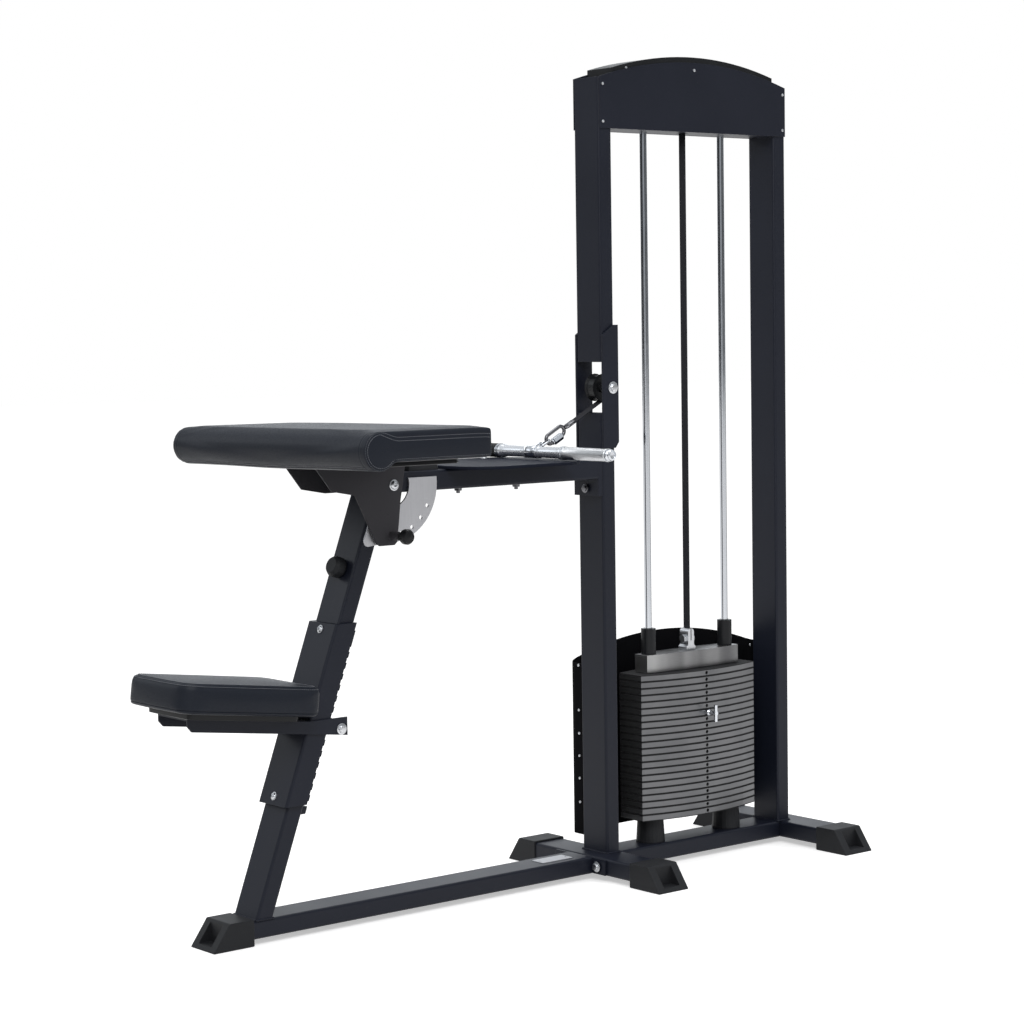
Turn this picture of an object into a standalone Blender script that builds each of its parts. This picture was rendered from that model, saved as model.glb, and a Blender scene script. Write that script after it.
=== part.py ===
"""Biceps triceps machine: a seat and an arm pad on a bench frame, and a weight tower with a strap and bar.

X runs along the machine from the seat (-X) to the tower (+X), Y across it and Z up. Lengths are metres.
Sizes along X are measured from MACHINE_X, the front of the tower. The model stands on Z = 0 and is
centred on the origin.
"""
import math

import bmesh
import bpy
from mathutils import Matrix, Vector

# Placing
MACHINE_X = 0.3148               # the tower's front lies here, so that the machine is centred on the origin
GAP = 0.0004                     # play between two pieces that touch
COLLECTION = "biceps_triceps_machine"

# Frame tubes
TUBE_WIDTH = 0.100               # the wide side, which lies across the machine on the bench and the tower
TUBE_DEPTH = 0.046
TUBE_WALL = 0.003
TUBE_CORNER = 0.006
FLOOR_GAP = 0.0155               # height of the floor tubes' undersides

# Floor frame and feet
BENCH_FRONT = -1.2652            # outer edge of the front foot
FOOT_REACH = 0.3133              # outer edge of a side foot, from the middle
FOOT_LENGTH = 0.118
FOOT_TOP_LENGTH = 0.070
FOOT_WIDTH = 0.107
FOOT_HEIGHT = 0.0665
FOOT_POCKET = 0.045              # how deep a tube sits in its foot
FOOT_RECESS_WIDTH = 0.056
FOOT_RECESS_BASE = 0.012
FRONT_BEAM_SHIFT = -0.021        # foot beams against their uprights
REAR_BEAM_SHIFT = 0.034
JOINT_PLATE_WIDTH = 0.204
JOINT_PLATE_THICKNESS = 0.006
JOINT_BOLT_SPACING = 0.146
BOLT_HEAD_RADIUS = 0.010
BOLT_HEAD_HEIGHT = 0.006

# Tower
UPRIGHT_X = 0.020                # middle of the front upright
UPRIGHT_SPACING = 0.655
UPRIGHT_TOP = 2.150
UPRIGHT_LID = 0.004
SLOT_BELOW = 0.068               # the front upright is open around the middle pulley, for the strap
SLOT_ABOVE = 0.069
CHEEK_THICKNESS = 0.006
CHEEK_BELOW = 0.162              # the cheeks' ends, from the middle pulley's axle
CHEEK_ABOVE = 0.168
CHEEK_REACH = 0.032              # rear edge of a cheek, behind the middle of the upright
CHEEK_CHAMFER = 0.016
CHEEK_SHOULDER = 0.026

# Header
HEADER_DEPTH = 0.136             # of the side plates, below the uprights' tops
HEADER_RISE = 0.0525             # of the side plates' arched top
HEADER_THICKNESS = 0.003
COVER_DEPTH = 0.0251
COVER_RISE = 0.042
COVER_INSET = 0.050              # each end of the cover, from the uprights' outer faces
ROD_PLATE_THICKNESS = 0.008
STRAP_SLOT_WIDTH = 0.034
STRAP_SLOT_LENGTH = 0.020

# Guide rods and bumpers
ROD_SPACING = 0.291
ROD_RADIUS = 0.0097
BUMPER_RADIUS = 0.036
BUMPER_FLARE = 0.004
STACK_BOTTOM = 0.130

# Weight stack
PLATES = 22
LIFTED_PLATES = 7                # plates above and at the selector pin
PLATE_PITCH = 0.0184
PLATE_GROOVE = 0.0012            # height of the line between two plates
PLATE_GROOVE_DEPTH = 0.004
PLATE_LENGTH = 0.430
PLATE_END_WIDTH = 0.090
PLATE_BULGE = 0.034              # of the front and the back, from the end faces' corners
ROD_PLAY = 0.0015
STEM_RADIUS = 0.011
STEM_PLAY = 0.0015
PIN_RADIUS = 0.0045
PIN_PLAY = 0.0008
PIN_HANDLE_LENGTH = 0.046
PIN_HANDLE_RADIUS = 0.005
HEAD_LENGTH = 0.347
HEAD_WIDTH = 0.050
HEAD_BULGE = 0.012
HEAD_HEIGHT = 0.049
BUSHING_RADIUS = 0.0205
BUSHING_HEIGHT = 0.071

# Rear shroud of the stack
SHROUD_DEPTH = 0.055
SHROUD_CORNER = 0.028
SHROUD_THICKNESS = 0.003
SHROUD_BOTTOM = 0.100
SHROUD_TOP = 0.632
SHROUD_RISE = 0.062
SHROUD_FLANGE = 0.030

# Strap and pulleys
STRAP_WIDTH = 0.025
STRAP_THICKNESS = 0.0026
PULLEY_RADIUS = 0.0425           # to the strap
MID_PULLEY_RADIUS = 0.0325
PULLEY_LIP = 0.005
PULLEY_WIDTH = 0.034
PULLEY_LIP_WIDTH = 0.003
PULLEY_WEB_INSET = 0.006
PULLEY_HUB_WALL = 0.007
PULLEY_RIM = 0.006
PULLEY_STEPS = 24
AXLE_RADIUS = 0.006
HEADER_PULLEY_DROP = 0.055       # of the header pulleys' axles, below the uprights' tops
MID_PULLEY_X = 0.032
MID_PULLEY_RISE = 0.192          # of the middle pulley's axle, above the upper beam
CLAMP_HEIGHT = 0.060
CLAMP_WIDTH = 0.034
CLAMP_DEPTH = 0.022
CLAMP_GRIP = 0.034               # length of strap held in the clamp
TAIL_ANGLE = 28.0                # the strap's slope down to the bar
SWING_GAP = 0.0015               # between the strap around the pulley and its end run
CRIMP_LENGTH = 0.028
CRIMP_WIDTH = 0.018
CRIMP_THICKNESS = 0.009
EYE_WIRE = 0.0030
EYE_RADIUS = 0.0105
HOOK_LENGTH = 0.0664             # along the wire's middle
HOOK_WIDTH = 0.0230
HOOK_WIRE = 0.0036
NUT_RADIUS = 0.0070
NUT_LENGTH = 0.034
LINK_LENGTH = 0.0320
LINK_WIDTH = 0.0150
LINK_WIRE = 0.0028
LINK_PLAY = 0.0010               # between two links that hang in each other

# Bar
BAR_LENGTH = 0.636
BAR_RADIUS = 0.0125
BAR_BARREL_RADIUS = 0.0165
BAR_BARREL_LENGTH = 0.036
GRIP_RADIUS = 0.0190
GRIP_LENGTH = 0.172
GRIP_END_GAP = 0.016
HANGER_WIRE = 0.0032
HANGER_WIDTH = 0.0180
HANGER_LENGTH = 0.0370           # from the eye's wire to the bar's axis

# Post and seat
POST_LEAN = 20.35                # from upright, in degrees
POST_INSET = 0.1025              # of the post's front face at the floor, from the bench's front edge
SLEEVE_WIDTH = 0.121
SLEEVE_PROUD = 0.0135
SLEEVE_BOTTOM = 0.329
SLEEVE_TOP = 0.765
RACK_WIDTH = 0.050
RACK_DEPTH = 0.030
RACK_BOTTOM = 0.299
RACK_TOP = 0.740
RACK_PITCH = 0.0265
RACK_NOTCH = 0.013
RACK_NOTCH_DEPTH = 0.012
STOP_Z = 0.895
STOP_RADIUS = 0.0265
STOP_LENGTH = 0.034
SEAT_SLOPE = 7.2                 # the seat falls toward the post, in degrees
SEAT_Z = 0.551                   # underside of the cushion at its rear edge
SEAT_CLEARANCE = 0.012           # between the cushion and the sleeve
SEAT_LENGTH = 0.405
SEAT_WIDTH = 0.280
SEAT_THICKNESS = 0.0755
SEAT_CORNER = 0.045
SEAT_BOW = 0.008
SEAT_BOARD = 0.016
SEAT_BOARD_INSET = 0.045
SEAT_EDGE = 0.014
SEAT_SEAM = 0.009                # height of the lower seam
SEAM_DEPTH = 0.0022
SEAT_CROWN = 0.006
CARRIAGE_INSET = 0.054           # of the carriage's front end, from the cushion's
CARRIAGE_TAIL = 0.018            # carriage behind the roller's axis
CARRIAGE_DEPTH = 0.031
CARRIAGE_REAR_HEIGHT = 0.046
CARRIAGE_SHEET = 0.005
CARRIAGE_PLAY = 0.0008           # between the carriage's sides and the sleeve
ROLLER_RISE = 0.017              # of the roller's axis, above the carriage's lower edge
ROLLER_RADIUS = 0.008
ROLLER_PLAY = 0.0008
ROLLER_PIN = 0.005

# Upper beam and tray
BEAM_BOTTOM = 1.080
BEAM_DEPTH = 0.052
END_PLATE_THICKNESS = 0.014
END_PLATE_WIDTH = 0.099
END_PLATE_DROP = 0.046
TRAY_LENGTH = 0.390
TRAY_WIDTH = 0.370
TRAY_CORNER = 0.100
TRAY_HEIGHT = 0.008
TRAY_SHEET = 0.0025
TRAY_REAR_X = -0.145

# Arm pad
PIVOT_INSET = 0.0490             # of the pad's pivot, from the upper beam's front end
PIVOT_RISE = 0.0210              # and from its underside
PIVOT_RADIUS = 0.006
PAD_WIDTH = 0.838
ROLL_RADIUS = 0.049
ROLL_REACH = 0.2949              # of the roll's middle, in front of the pivot
ROLL_RISE = 0.029                # of the roll's middle, above the slab's underside
SLAB_REACH = 0.0371              # of the slab's rear end, behind the pivot
SLAB_THICKNESS = 0.0775          # at its rear end
SLAB_CORNER = 0.012
PAD_EDGE = 0.012
PAD_SEAM = 0.024                 # from each end
PAD_CROWN = 0.003
BRACKET_WIDTH = 0.134
BRACKET_SHEET = 0.005
BRACKET_RISE = 0.0425            # of the bracket's top, above the upper beam
BRACKET_REACH = 0.2530           # of the bracket's front end, in front of the pivot
QUADRANT_RADIUS = 0.1445
QUADRANT_BORE = 0.057
QUADRANT_THICKNESS = 0.005
QUADRANT_RISE = 0.015            # of the quadrant's top, above the pivot
PIN_CIRCLE = 0.1265
PIN_ANGLE = -93.0
PAD_STEPS = 4
PAD_STEP = 16.5                  # degrees between two lock holes
LOCK_PIN_RADIUS = 0.005
LOCK_COLLAR_RADIUS = 0.011
LOCK_COLLAR_LENGTH = 0.034
LOCK_KNOB_RADIUS = 0.0195
LOCK_KNOB_LENGTH = 0.032
LOCK_DEPTH = 0.005               # how far the pin goes in to lock


# Scene and materials

def clear_scene():
    for thing in list(bpy.data.objects):
        bpy.data.objects.remove(thing, do_unlink=True)


def make_collection(name):
    collection = bpy.data.collections.new(name)
    bpy.context.scene.collection.children.link(collection)
    return collection


def make_material(name, colour, roughness, metallic):
    material = bpy.data.materials.new(name)
    material.use_nodes = True
    shader = material.node_tree.nodes["Principled BSDF"]
    shader.inputs["Base Color"].default_value = (*colour, 1.0)
    shader.inputs["Roughness"].default_value = roughness
    shader.inputs["Metallic"].default_value = metallic
    material.diffuse_color = (*colour, 1.0)
    return material


clear_scene()
PARTS = make_collection(COLLECTION)
CUTTERS = make_collection("cutters")

LOOKS = {
    "frame": ((0.040, 0.044, 0.052), 0.45, 0.30),
    "rubber": ((0.020, 0.020, 0.022), 0.80, 0.0),
    "cover": ((0.055, 0.062, 0.074), 0.55, 0.0),
    "chrome": ((0.62, 0.64, 0.67), 0.16, 1.0),
    "steel": ((0.50, 0.51, 0.53), 0.32, 0.9),
    "plate": ((0.24, 0.25, 0.27), 0.45, 0.6),
    "strap": ((0.018, 0.018, 0.020), 0.60, 0.0),
}


def empty(name, location, parent=None):
    """A parent for the pieces of one moving body, on its joint's axis."""
    node = bpy.data.objects.new(name, None)
    PARTS.objects.link(node)
    node.location = Vector(location) - (world_of(parent) if parent else Vector())
    node.parent = parent
    return node


def world_of(node):
    place = Vector()
    while node is not None:
        place += node.location
        node = node.parent
    return place


def place(mesh, name, look, parent):
    """Makes the named part of a mesh in machine coordinates, held by its body's empty."""
    part = bpy.data.objects.new(name, mesh)
    PARTS.objects.link(part)
    part.parent = parent
    part.location = -(world_of(parent) - world_of(MACHINE))
    colour, roughness, metallic = LOOKS[look]
    mesh.materials.clear()
    mesh.materials.append(make_material(name, colour, roughness, metallic))
    return part


def cut(part, cutters):
    """Takes each cutter mesh, in machine coordinates, out of a part."""
    for number, mesh in enumerate(cutters):
        cutter = bpy.data.objects.new(f"{part.name}_cutter_{number}", mesh)
        CUTTERS.objects.link(cutter)
        cutter.location = world_of(MACHINE)
        cutter.hide_render = True
        cutter.display_type = "WIRE"
        modifier = part.modifiers.new(f"cut_{number}", "BOOLEAN")
        modifier.operation = "DIFFERENCE"
        modifier.solver = "EXACT"
        modifier.object = cutter
    return part


def join(part, meshes):
    """Joins each mesh, in machine coordinates, to a part."""
    for number, mesh in enumerate(meshes):
        added = bpy.data.objects.new(f"{part.name}_joined_{number}", mesh)
        CUTTERS.objects.link(added)
        added.location = world_of(MACHINE)
        added.hide_render = True
        added.display_type = "WIRE"
        modifier = part.modifiers.new(f"join_{number}", "BOOLEAN")
        modifier.operation = "UNION"
        modifier.solver = "EXACT"
        modifier.object = added
    return part


# Shapes

def arc(centre, radius, start, end, steps):
    """Points of an arc from one angle to another, in degrees."""
    points = []
    for step in range(steps + 1):
        angle = math.radians(start + (end - start) * step / steps)
        points.append((centre[0] + radius * math.cos(angle), centre[1] + radius * math.sin(angle)))
    return points


def rounded_rectangle(centre, width, height, radius, steps=3):
    """The outline of a rectangle with round corners, anticlockwise."""
    x, y = centre
    right, top = width / 2 - radius, height / 2 - radius
    points = arc((x + right, y + top), radius, 0, 90, steps)
    points += arc((x - right, y + top), radius, 90, 180, steps)
    points += arc((x - right, y - top), radius, 180, 270, steps)
    points += arc((x + right, y - top), radius, 270, 360, steps)
    return points


def bowed_edge(left, right, end_height, rise, steps):
    """Points from right to left along a shallow arch that rises in the middle."""
    half = (right - left) / 2
    radius = (half * half + rise * rise) / (2 * rise)
    middle = (left + right) / 2
    points = []
    for step in range(steps + 1):
        x = right - (right - left) * step / steps
        points.append((x, end_height + rise - radius + math.sqrt(radius * radius - (x - middle) ** 2)))
    return points


PLANES = {
    "XY": Matrix.Identity(4),
    "XZ": Matrix.Rotation(math.radians(90), 4, "X"),
    "YZ": Matrix.Rotation(math.radians(90), 4, "Z") @ Matrix.Rotation(math.radians(90), 4, "X"),
}
NORMALS = {"XY": Vector((0, 0, 1)), "XZ": Vector((0, 1, 0)), "YZ": Vector((1, 0, 0))}


def weld(mesh):
    """Joins a mesh's loose caps to its sides and turns its faces outward."""
    shape = bmesh.new()
    shape.from_mesh(mesh)
    bmesh.ops.remove_doubles(shape, verts=shape.verts, dist=1e-6)
    bmesh.ops.recalc_face_normals(shape, faces=shape.faces)
    shape.to_mesh(mesh)
    shape.free()
    return mesh


def prism(outlines, low, high, plane="XZ"):
    """A flat shape of one outline and its holes, between two planes across the third axis."""
    curve = bpy.data.curves.new("outline", "CURVE")
    curve.dimensions = "2D"
    curve.fill_mode = "BOTH"
    curve.extrude = (high - low) / 2
    for outline in outlines:
        spline = curve.splines.new("POLY")
        spline.points.add(len(outline) - 1)
        for point, (x, y) in zip(spline.points, outline):
            point.co = (x, y, 0, 1)
        spline.use_cyclic_u = True
    return from_curve(curve, Matrix.Translation(NORMALS[plane] * (low + high) / 2) @ PLANES[plane])


def from_curve(curve, matrix=Matrix.Identity(4)):
    """The welded mesh of a curve, moved by a matrix."""
    holder = bpy.data.objects.new("outline", curve)
    bpy.context.scene.collection.objects.link(holder)
    graph = bpy.context.evaluated_depsgraph_get()
    mesh = bpy.data.meshes.new_from_object(holder.evaluated_get(graph))
    bpy.data.objects.remove(holder, do_unlink=True)
    mesh.transform(matrix)
    return weld(mesh)


def wire(points, radius, closed=False, sides=2):
    """A round wire through points."""
    curve = bpy.data.curves.new("wire", "CURVE")
    curve.dimensions = "3D"
    curve.bevel_depth = radius
    curve.bevel_resolution = sides
    curve.use_fill_caps = not closed
    spline = curve.splines.new("POLY")
    spline.points.add(len(points) - 1)
    for point, place_ in zip(spline.points, points):
        point.co = (*place_, 1)
    spline.use_cyclic_u = closed
    return from_curve(curve)


def box(x, y, z):
    """A box between three pairs of limits."""
    shape = bmesh.new()
    bmesh.ops.create_cube(shape, size=1.0)
    size = Vector((x[1] - x[0], y[1] - y[0], z[1] - z[0]))
    middle = Vector((x[0] + x[1], y[0] + y[1], z[0] + z[1])) / 2
    bmesh.ops.transform(shape, matrix=Matrix.Translation(middle) @ Matrix.Diagonal((*size, 1)),
                        verts=shape.verts)
    mesh = bpy.data.meshes.new("box")
    shape.to_mesh(mesh)
    shape.free()
    return mesh


AXES = {
    "Z": Matrix.Identity(4),
    "Y": Matrix.Rotation(math.radians(-90), 4, "X"),
    "X": Matrix.Rotation(math.radians(90), 4, "Y"),
}


def turned(profile, centre, axis="Z", steps=24, closed=False):
    """Turns a profile of (radius, height) points, outer side from top to bottom, about an axis."""
    mesh = bpy.data.meshes.new("profile")
    edges = [(i, i + 1) for i in range(len(profile) - 1)]
    if closed:
        edges.append((len(profile) - 1, 0))
    mesh.from_pydata([(radius, 0, height) for radius, height in profile], edges, [])
    holder = bpy.data.objects.new("profile", mesh)
    bpy.context.scene.collection.objects.link(holder)
    screw = holder.modifiers.new("turn", "SCREW")
    screw.steps = steps
    screw.render_steps = steps
    screw.use_merge_vertices = True
    screw.merge_threshold = 1e-6
    graph = bpy.context.evaluated_depsgraph_get()
    solid = bpy.data.meshes.new_from_object(holder.evaluated_get(graph))
    bpy.data.objects.remove(holder, do_unlink=True)
    solid.transform(Matrix.Translation(Vector(centre)) @ AXES[axis])
    return weld(solid)


def cylinder(radius, low, high, centre, axis="Z", steps=24):
    """A round bar between two places along its axis."""
    return turned([(0, high), (radius, high), (radius, low), (0, low)], centre, axis, steps)


def sleeve_of(outer, inner, low, high, centre, axis="Z", steps=24):
    """A round tube between two places along its axis."""
    profile = [(outer, high), (outer, low), (inner, low), (inner, high)]
    return turned(profile, centre, axis, steps, closed=True)


def combined(meshes):
    """One mesh of several that do not touch, for cutting."""
    shape = bmesh.new()
    for mesh in meshes:
        shape.from_mesh(mesh)
    whole = bpy.data.meshes.new("combined")
    shape.to_mesh(whole)
    shape.free()
    return whole


def inset(outline, distance):
    """An anticlockwise outline moved inward by a distance."""
    count = len(outline)
    moved = []
    for i, (x, y) in enumerate(outline):
        before, after = Vector(outline[i - 1]), Vector(outline[(i + 1) % count])
        here = Vector((x, y))
        first, second = (here - before).normalized(), (after - here).normalized()
        left = Vector((-first.y, first.x)) + Vector((-second.y, second.x))
        left.normalize()
        share = max(left.dot(Vector((-first.y, first.x))), 0.5)
        moved.append((x + left.x * distance / share, y + left.y * distance / share))
    return moved


def loft(rings):
    """A closed solid through rings of as many points each, with flat ends."""
    shape = bmesh.new()
    rows = [[shape.verts.new(point) for point in ring] for ring in rings]
    count = len(rows[0])
    for low, high in zip(rows, rows[1:]):
        for i in range(count):
            after = (i + 1) % count
            shape.faces.new((low[i], low[after], high[after], high[i]))
    shape.faces.new(reversed(rows[0]))
    shape.faces.new(rows[-1])
    bmesh.ops.recalc_face_normals(shape, faces=shape.faces)
    mesh = bpy.data.meshes.new("loft")
    shape.to_mesh(mesh)
    shape.free()
    return mesh


def soften(part, angle=40):
    """Shades a round piece smooth between its sharp edges."""
    part.data.shade_smooth()
    part.data.set_sharp_from_angle(angle=math.radians(angle))
    return part


def tube_outlines(centre, width, height):
    """The outer and inner outline of a frame tube's section."""
    return [rounded_rectangle(centre, width, height, TUBE_CORNER),
            rounded_rectangle(centre, width - 2 * TUBE_WALL, height - 2 * TUBE_WALL,
                              TUBE_CORNER - TUBE_WALL, 2)]


# Places that several pieces share

LEAN = math.tan(math.radians(POST_LEAN))
SLOPE = math.tan(math.radians(SEAT_SLOPE))
ALONG_POST = Vector((math.sin(math.radians(POST_LEAN)), 0, math.cos(math.radians(POST_LEAN))))
FLOOR_TOP = FLOOR_GAP + TUBE_DEPTH
TOWER_MID = UPRIGHT_X + UPRIGHT_SPACING / 2
REAR_UPRIGHT_X = UPRIGHT_X + UPRIGHT_SPACING
TOWER_FRONT = UPRIGHT_X - TUBE_DEPTH / 2
TOWER_REAR = REAR_UPRIGHT_X + TUBE_DEPTH / 2
FRONT_BEAM_X = UPRIGHT_X + FRONT_BEAM_SHIFT
REAR_BEAM_X = REAR_UPRIGHT_X + REAR_BEAM_SHIFT
ROD_X = (TOWER_MID - ROD_SPACING / 2, TOWER_MID + ROD_SPACING / 2)
BEAM_TOP = BEAM_BOTTOM + BEAM_DEPTH
TRAY_TOP = BEAM_TOP + GAP + TRAY_HEIGHT
HALF_TUBE = TUBE_WIDTH / 2
HEADER_BOTTOM = UPRIGHT_TOP - HEADER_DEPTH
HEADER_PULLEY_Z = UPRIGHT_TOP - HEADER_PULLEY_DROP
MID_PULLEY_Z = BEAM_TOP + MID_PULLEY_RISE
SLOT_BOTTOM = MID_PULLEY_Z - SLOT_BELOW
SLOT_TOP = MID_PULLEY_Z + SLOT_ABOVE
POST_FLOOR_X = BENCH_FRONT + POST_INSET
STACK_TOP = STACK_BOTTOM + PLATES * PLATE_PITCH
SPLIT_Z = STACK_BOTTOM + (PLATES - LIFTED_PLATES) * PLATE_PITCH
PIN_Z = SPLIT_Z + PLATE_PITCH / 2 - PLATE_GROOVE / 2
HEAD_BOTTOM = STACK_TOP
HEAD_TOP = HEAD_BOTTOM + HEAD_HEIGHT
STRAP_OFFSET = GAP + STRAP_THICKNESS / 2
REAR_PULLEY_X = TOWER_MID - PULLEY_RADIUS - STRAP_OFFSET
DOWN_RUN_X = MID_PULLEY_X + MID_PULLEY_RADIUS + STRAP_OFFSET
FRONT_PULLEY_X = DOWN_RUN_X + PULLEY_RADIUS + STRAP_OFFSET
TAIL_DIRECTION = Vector((-math.cos(math.radians(TAIL_ANGLE)), 0, -math.sin(math.radians(TAIL_ANGLE))))
TAIL_UP = Vector((-TAIL_DIRECTION.z, 0, TAIL_DIRECTION.x)) * -1
BAR_Z = TRAY_TOP + GRIP_RADIUS + 2 * GAP


def post_front(z):
    """X of the post's front face at a height."""
    return POST_FLOOR_X + LEAN * z


POST_SECTION = TUBE_DEPTH / math.cos(math.radians(POST_LEAN))
BEAM_FRONT = post_front(BEAM_BOTTOM)
PIVOT_X = BEAM_FRONT + PIVOT_INSET
PIVOT_Z = BEAM_BOTTOM + PIVOT_RISE
BRACKET_TOP = BEAM_TOP + BRACKET_RISE
BRACKET_FRONT_X = PIVOT_X - BRACKET_REACH
SLAB_BOTTOM = BRACKET_TOP + GAP
SLAB_END_TOP = SLAB_BOTTOM + SLAB_THICKNESS
SLAB_END_X = PIVOT_X + SLAB_REACH
ROLL_X = PIVOT_X - ROLL_REACH
ROLL_Z = SLAB_BOTTOM + ROLL_RISE
SEAT_REAR_X = post_front(SEAT_Z) - SLEEVE_PROUD - SEAT_CLEARANCE
SEAT_FRONT_X = SEAT_REAR_X - SEAT_LENGTH * math.cos(math.radians(SEAT_SLOPE))
SEAT_FRONT_Z = SEAT_Z + SEAT_LENGTH * math.sin(math.radians(SEAT_SLOPE))
CARRIAGE_FRONT_X = SEAT_FRONT_X + CARRIAGE_INSET

MACHINE = bpy.data.objects.new("machine", None)
PARTS.objects.link(MACHINE)
MACHINE.location = (MACHINE_X, 0, 0)


# Floor frame

def foot_mesh():
    """A moulded foot at the origin that points along +X, with its tube's pocket and a recessed face."""
    side = [(0, 0), (FOOT_LENGTH, 0), (FOOT_TOP_LENGTH, FOOT_HEIGHT), (0, FOOT_HEIGHT)]
    half = FOOT_WIDTH / 2
    body = bpy.data.objects.new("foot_body", prism([side], -half, half))
    bpy.context.scene.collection.objects.link(body)
    bevel = body.modifiers.new("edges", "BEVEL")
    bevel.width = 0.003
    bevel.segments = 2
    bevel.limit_method = "ANGLE"
    clearance = 2 * GAP
    pocket = rounded_rectangle((0, FLOOR_GAP + TUBE_DEPTH / 2), TUBE_WIDTH + clearance,
                               TUBE_DEPTH + clearance, TUBE_CORNER + GAP)
    recess_half = FOOT_RECESS_WIDTH / 2
    cutters = [prism([pocket], -0.02, FOOT_POCKET + GAP, "YZ"),
               box((FOOT_TOP_LENGTH + 0.004, FOOT_LENGTH + 0.02), (-recess_half, recess_half),
                   (FOOT_RECESS_BASE, FOOT_HEIGHT + 0.02))]
    holders = []
    for number, mesh in enumerate(cutters):
        cutter = bpy.data.objects.new(f"foot_cutter_{number}", mesh)
        bpy.context.scene.collection.objects.link(cutter)
        modifier = body.modifiers.new(f"cut_{number}", "BOOLEAN")
        modifier.object = cutter
        holders.append(cutter)
    graph = bpy.context.evaluated_depsgraph_get()
    mesh = bpy.data.meshes.new_from_object(body.evaluated_get(graph))
    for holder in [body, *holders]:
        bpy.data.objects.remove(holder, do_unlink=True)
    return weld(mesh)


def floor_frame():
    """The floor tubes, their feet and the plate that bolts the bench to the tower."""
    levels = (0, FLOOR_GAP + TUBE_DEPTH / 2)
    tube_end = FOOT_LENGTH - FOOT_POCKET
    plate_front = FRONT_BEAM_X - HALF_TUBE - GAP - JOINT_PLATE_THICKNESS
    place(prism(tube_outlines(levels, TUBE_WIDTH, TUBE_DEPTH), BENCH_FRONT + tube_end,
                plate_front - GAP, "YZ"), "bench_beam", "frame", MACHINE)
    place(prism(tube_outlines(levels, TUBE_WIDTH, TUBE_DEPTH), FRONT_BEAM_X + HALF_TUBE + GAP,
                REAR_BEAM_X - HALF_TUBE - GAP, "YZ"), "tower_beam", "frame", MACHINE)
    reach = FOOT_REACH - tube_end
    for name, x in (("foot_beam_front", FRONT_BEAM_X), ("foot_beam_rear", REAR_BEAM_X)):
        place(prism(tube_outlines((x, levels[1]), TUBE_WIDTH, TUBE_DEPTH), -reach, reach), name,
              "frame", MACHINE)
    shape = foot_mesh()
    inner = FOOT_REACH - FOOT_LENGTH
    feet = [("foot_bench", (BENCH_FRONT + FOOT_LENGTH, 0), 180)]
    for name, x in (("front", FRONT_BEAM_X), ("rear", REAR_BEAM_X)):
        feet.append((f"foot_{name}_right", (x, -inner), -90))
        feet.append((f"foot_{name}_left", (x, inner), 90))
    for name, (x, y), turn in feet:
        mesh = shape.copy()
        mesh.transform(Matrix.Translation((x, y, 0)) @ Matrix.Rotation(math.radians(turn), 4, "Z"))
        place(mesh, name, "rubber", MACHINE)
    half = JOINT_PLATE_WIDTH / 2
    plate = place(box((plate_front, plate_front + JOINT_PLATE_THICKNESS), (-half, half),
                      (FLOOR_GAP + 0.002, FLOOR_TOP - 0.002)), "joint_plate", "frame", MACHINE)
    heads = [bolt_head((plate_front + 0.001, side * JOINT_BOLT_SPACING / 2, levels[1]), "-X")
             for side in (-1, 1)]
    join(plate, heads)


def bolt_head(place_, side):
    """A domed bolt head that stands on a face."""
    profile = [(0, BOLT_HEAD_HEIGHT), (BOLT_HEAD_RADIUS * 0.6, BOLT_HEAD_HEIGHT * 0.92),
               (BOLT_HEAD_RADIUS * 0.92, BOLT_HEAD_HEIGHT * 0.55), (BOLT_HEAD_RADIUS, 0),
               (BOLT_HEAD_RADIUS, -0.001), (0, -0.001)]
    mesh = turned(profile, (0, 0, 0), "Z", 16)
    turns = {"-X": Matrix.Rotation(math.radians(-90), 4, "Y"),
             "-Y": Matrix.Rotation(math.radians(90), 4, "X"),
             "+Y": Matrix.Rotation(math.radians(-90), 4, "X")}
    mesh.transform(Matrix.Translation(Vector(place_)) @ turns[side])
    return mesh


# Tower

def tower():
    """The uprights, the strap slot's cheeks, the guide rods and the bumpers."""
    foot = FLOOR_TOP + GAP
    section = tube_outlines((UPRIGHT_X, 0), TUBE_DEPTH, TUBE_WIDTH)
    place(prism(section, foot, SLOT_BOTTOM, "XY"), "upright_front_lower", "frame", MACHINE)
    for name, x, bottom in (("upright_front_upper", UPRIGHT_X, SLOT_TOP),
                            ("upright_rear", REAR_UPRIGHT_X, foot)):
        outer, inner = tube_outlines((x, 0), TUBE_DEPTH, TUBE_WIDTH)
        part = place(prism([outer], bottom, UPRIGHT_TOP, "XY"), name, "frame", MACHINE)
        cut(part, [prism([inner], bottom - 0.02, UPRIGHT_TOP - UPRIGHT_LID, "XY")])
    cheeks()
    top = HEADER_BOTTOM + GAP + ROD_PLATE_THICKNESS + 0.012
    for name, x in zip(("front", "rear"), ROD_X):
        place_round(cylinder(ROD_RADIUS, foot, top, (x, 0, 0)), f"guide_rod_{name}", "chrome")
        bumper = [(BUMPER_RADIUS, STACK_BOTTOM - GAP), (BUMPER_RADIUS + BUMPER_FLARE, foot),
                  (ROD_RADIUS + GAP, foot), (ROD_RADIUS + GAP, STACK_BOTTOM - GAP)]
        place_round(turned(bumper, (x, 0, 0), closed=True), f"bumper_{name}", "rubber")


def place_round(mesh, name, look, parent=None):
    return soften(place(mesh, name, look, parent or MACHINE))


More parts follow.
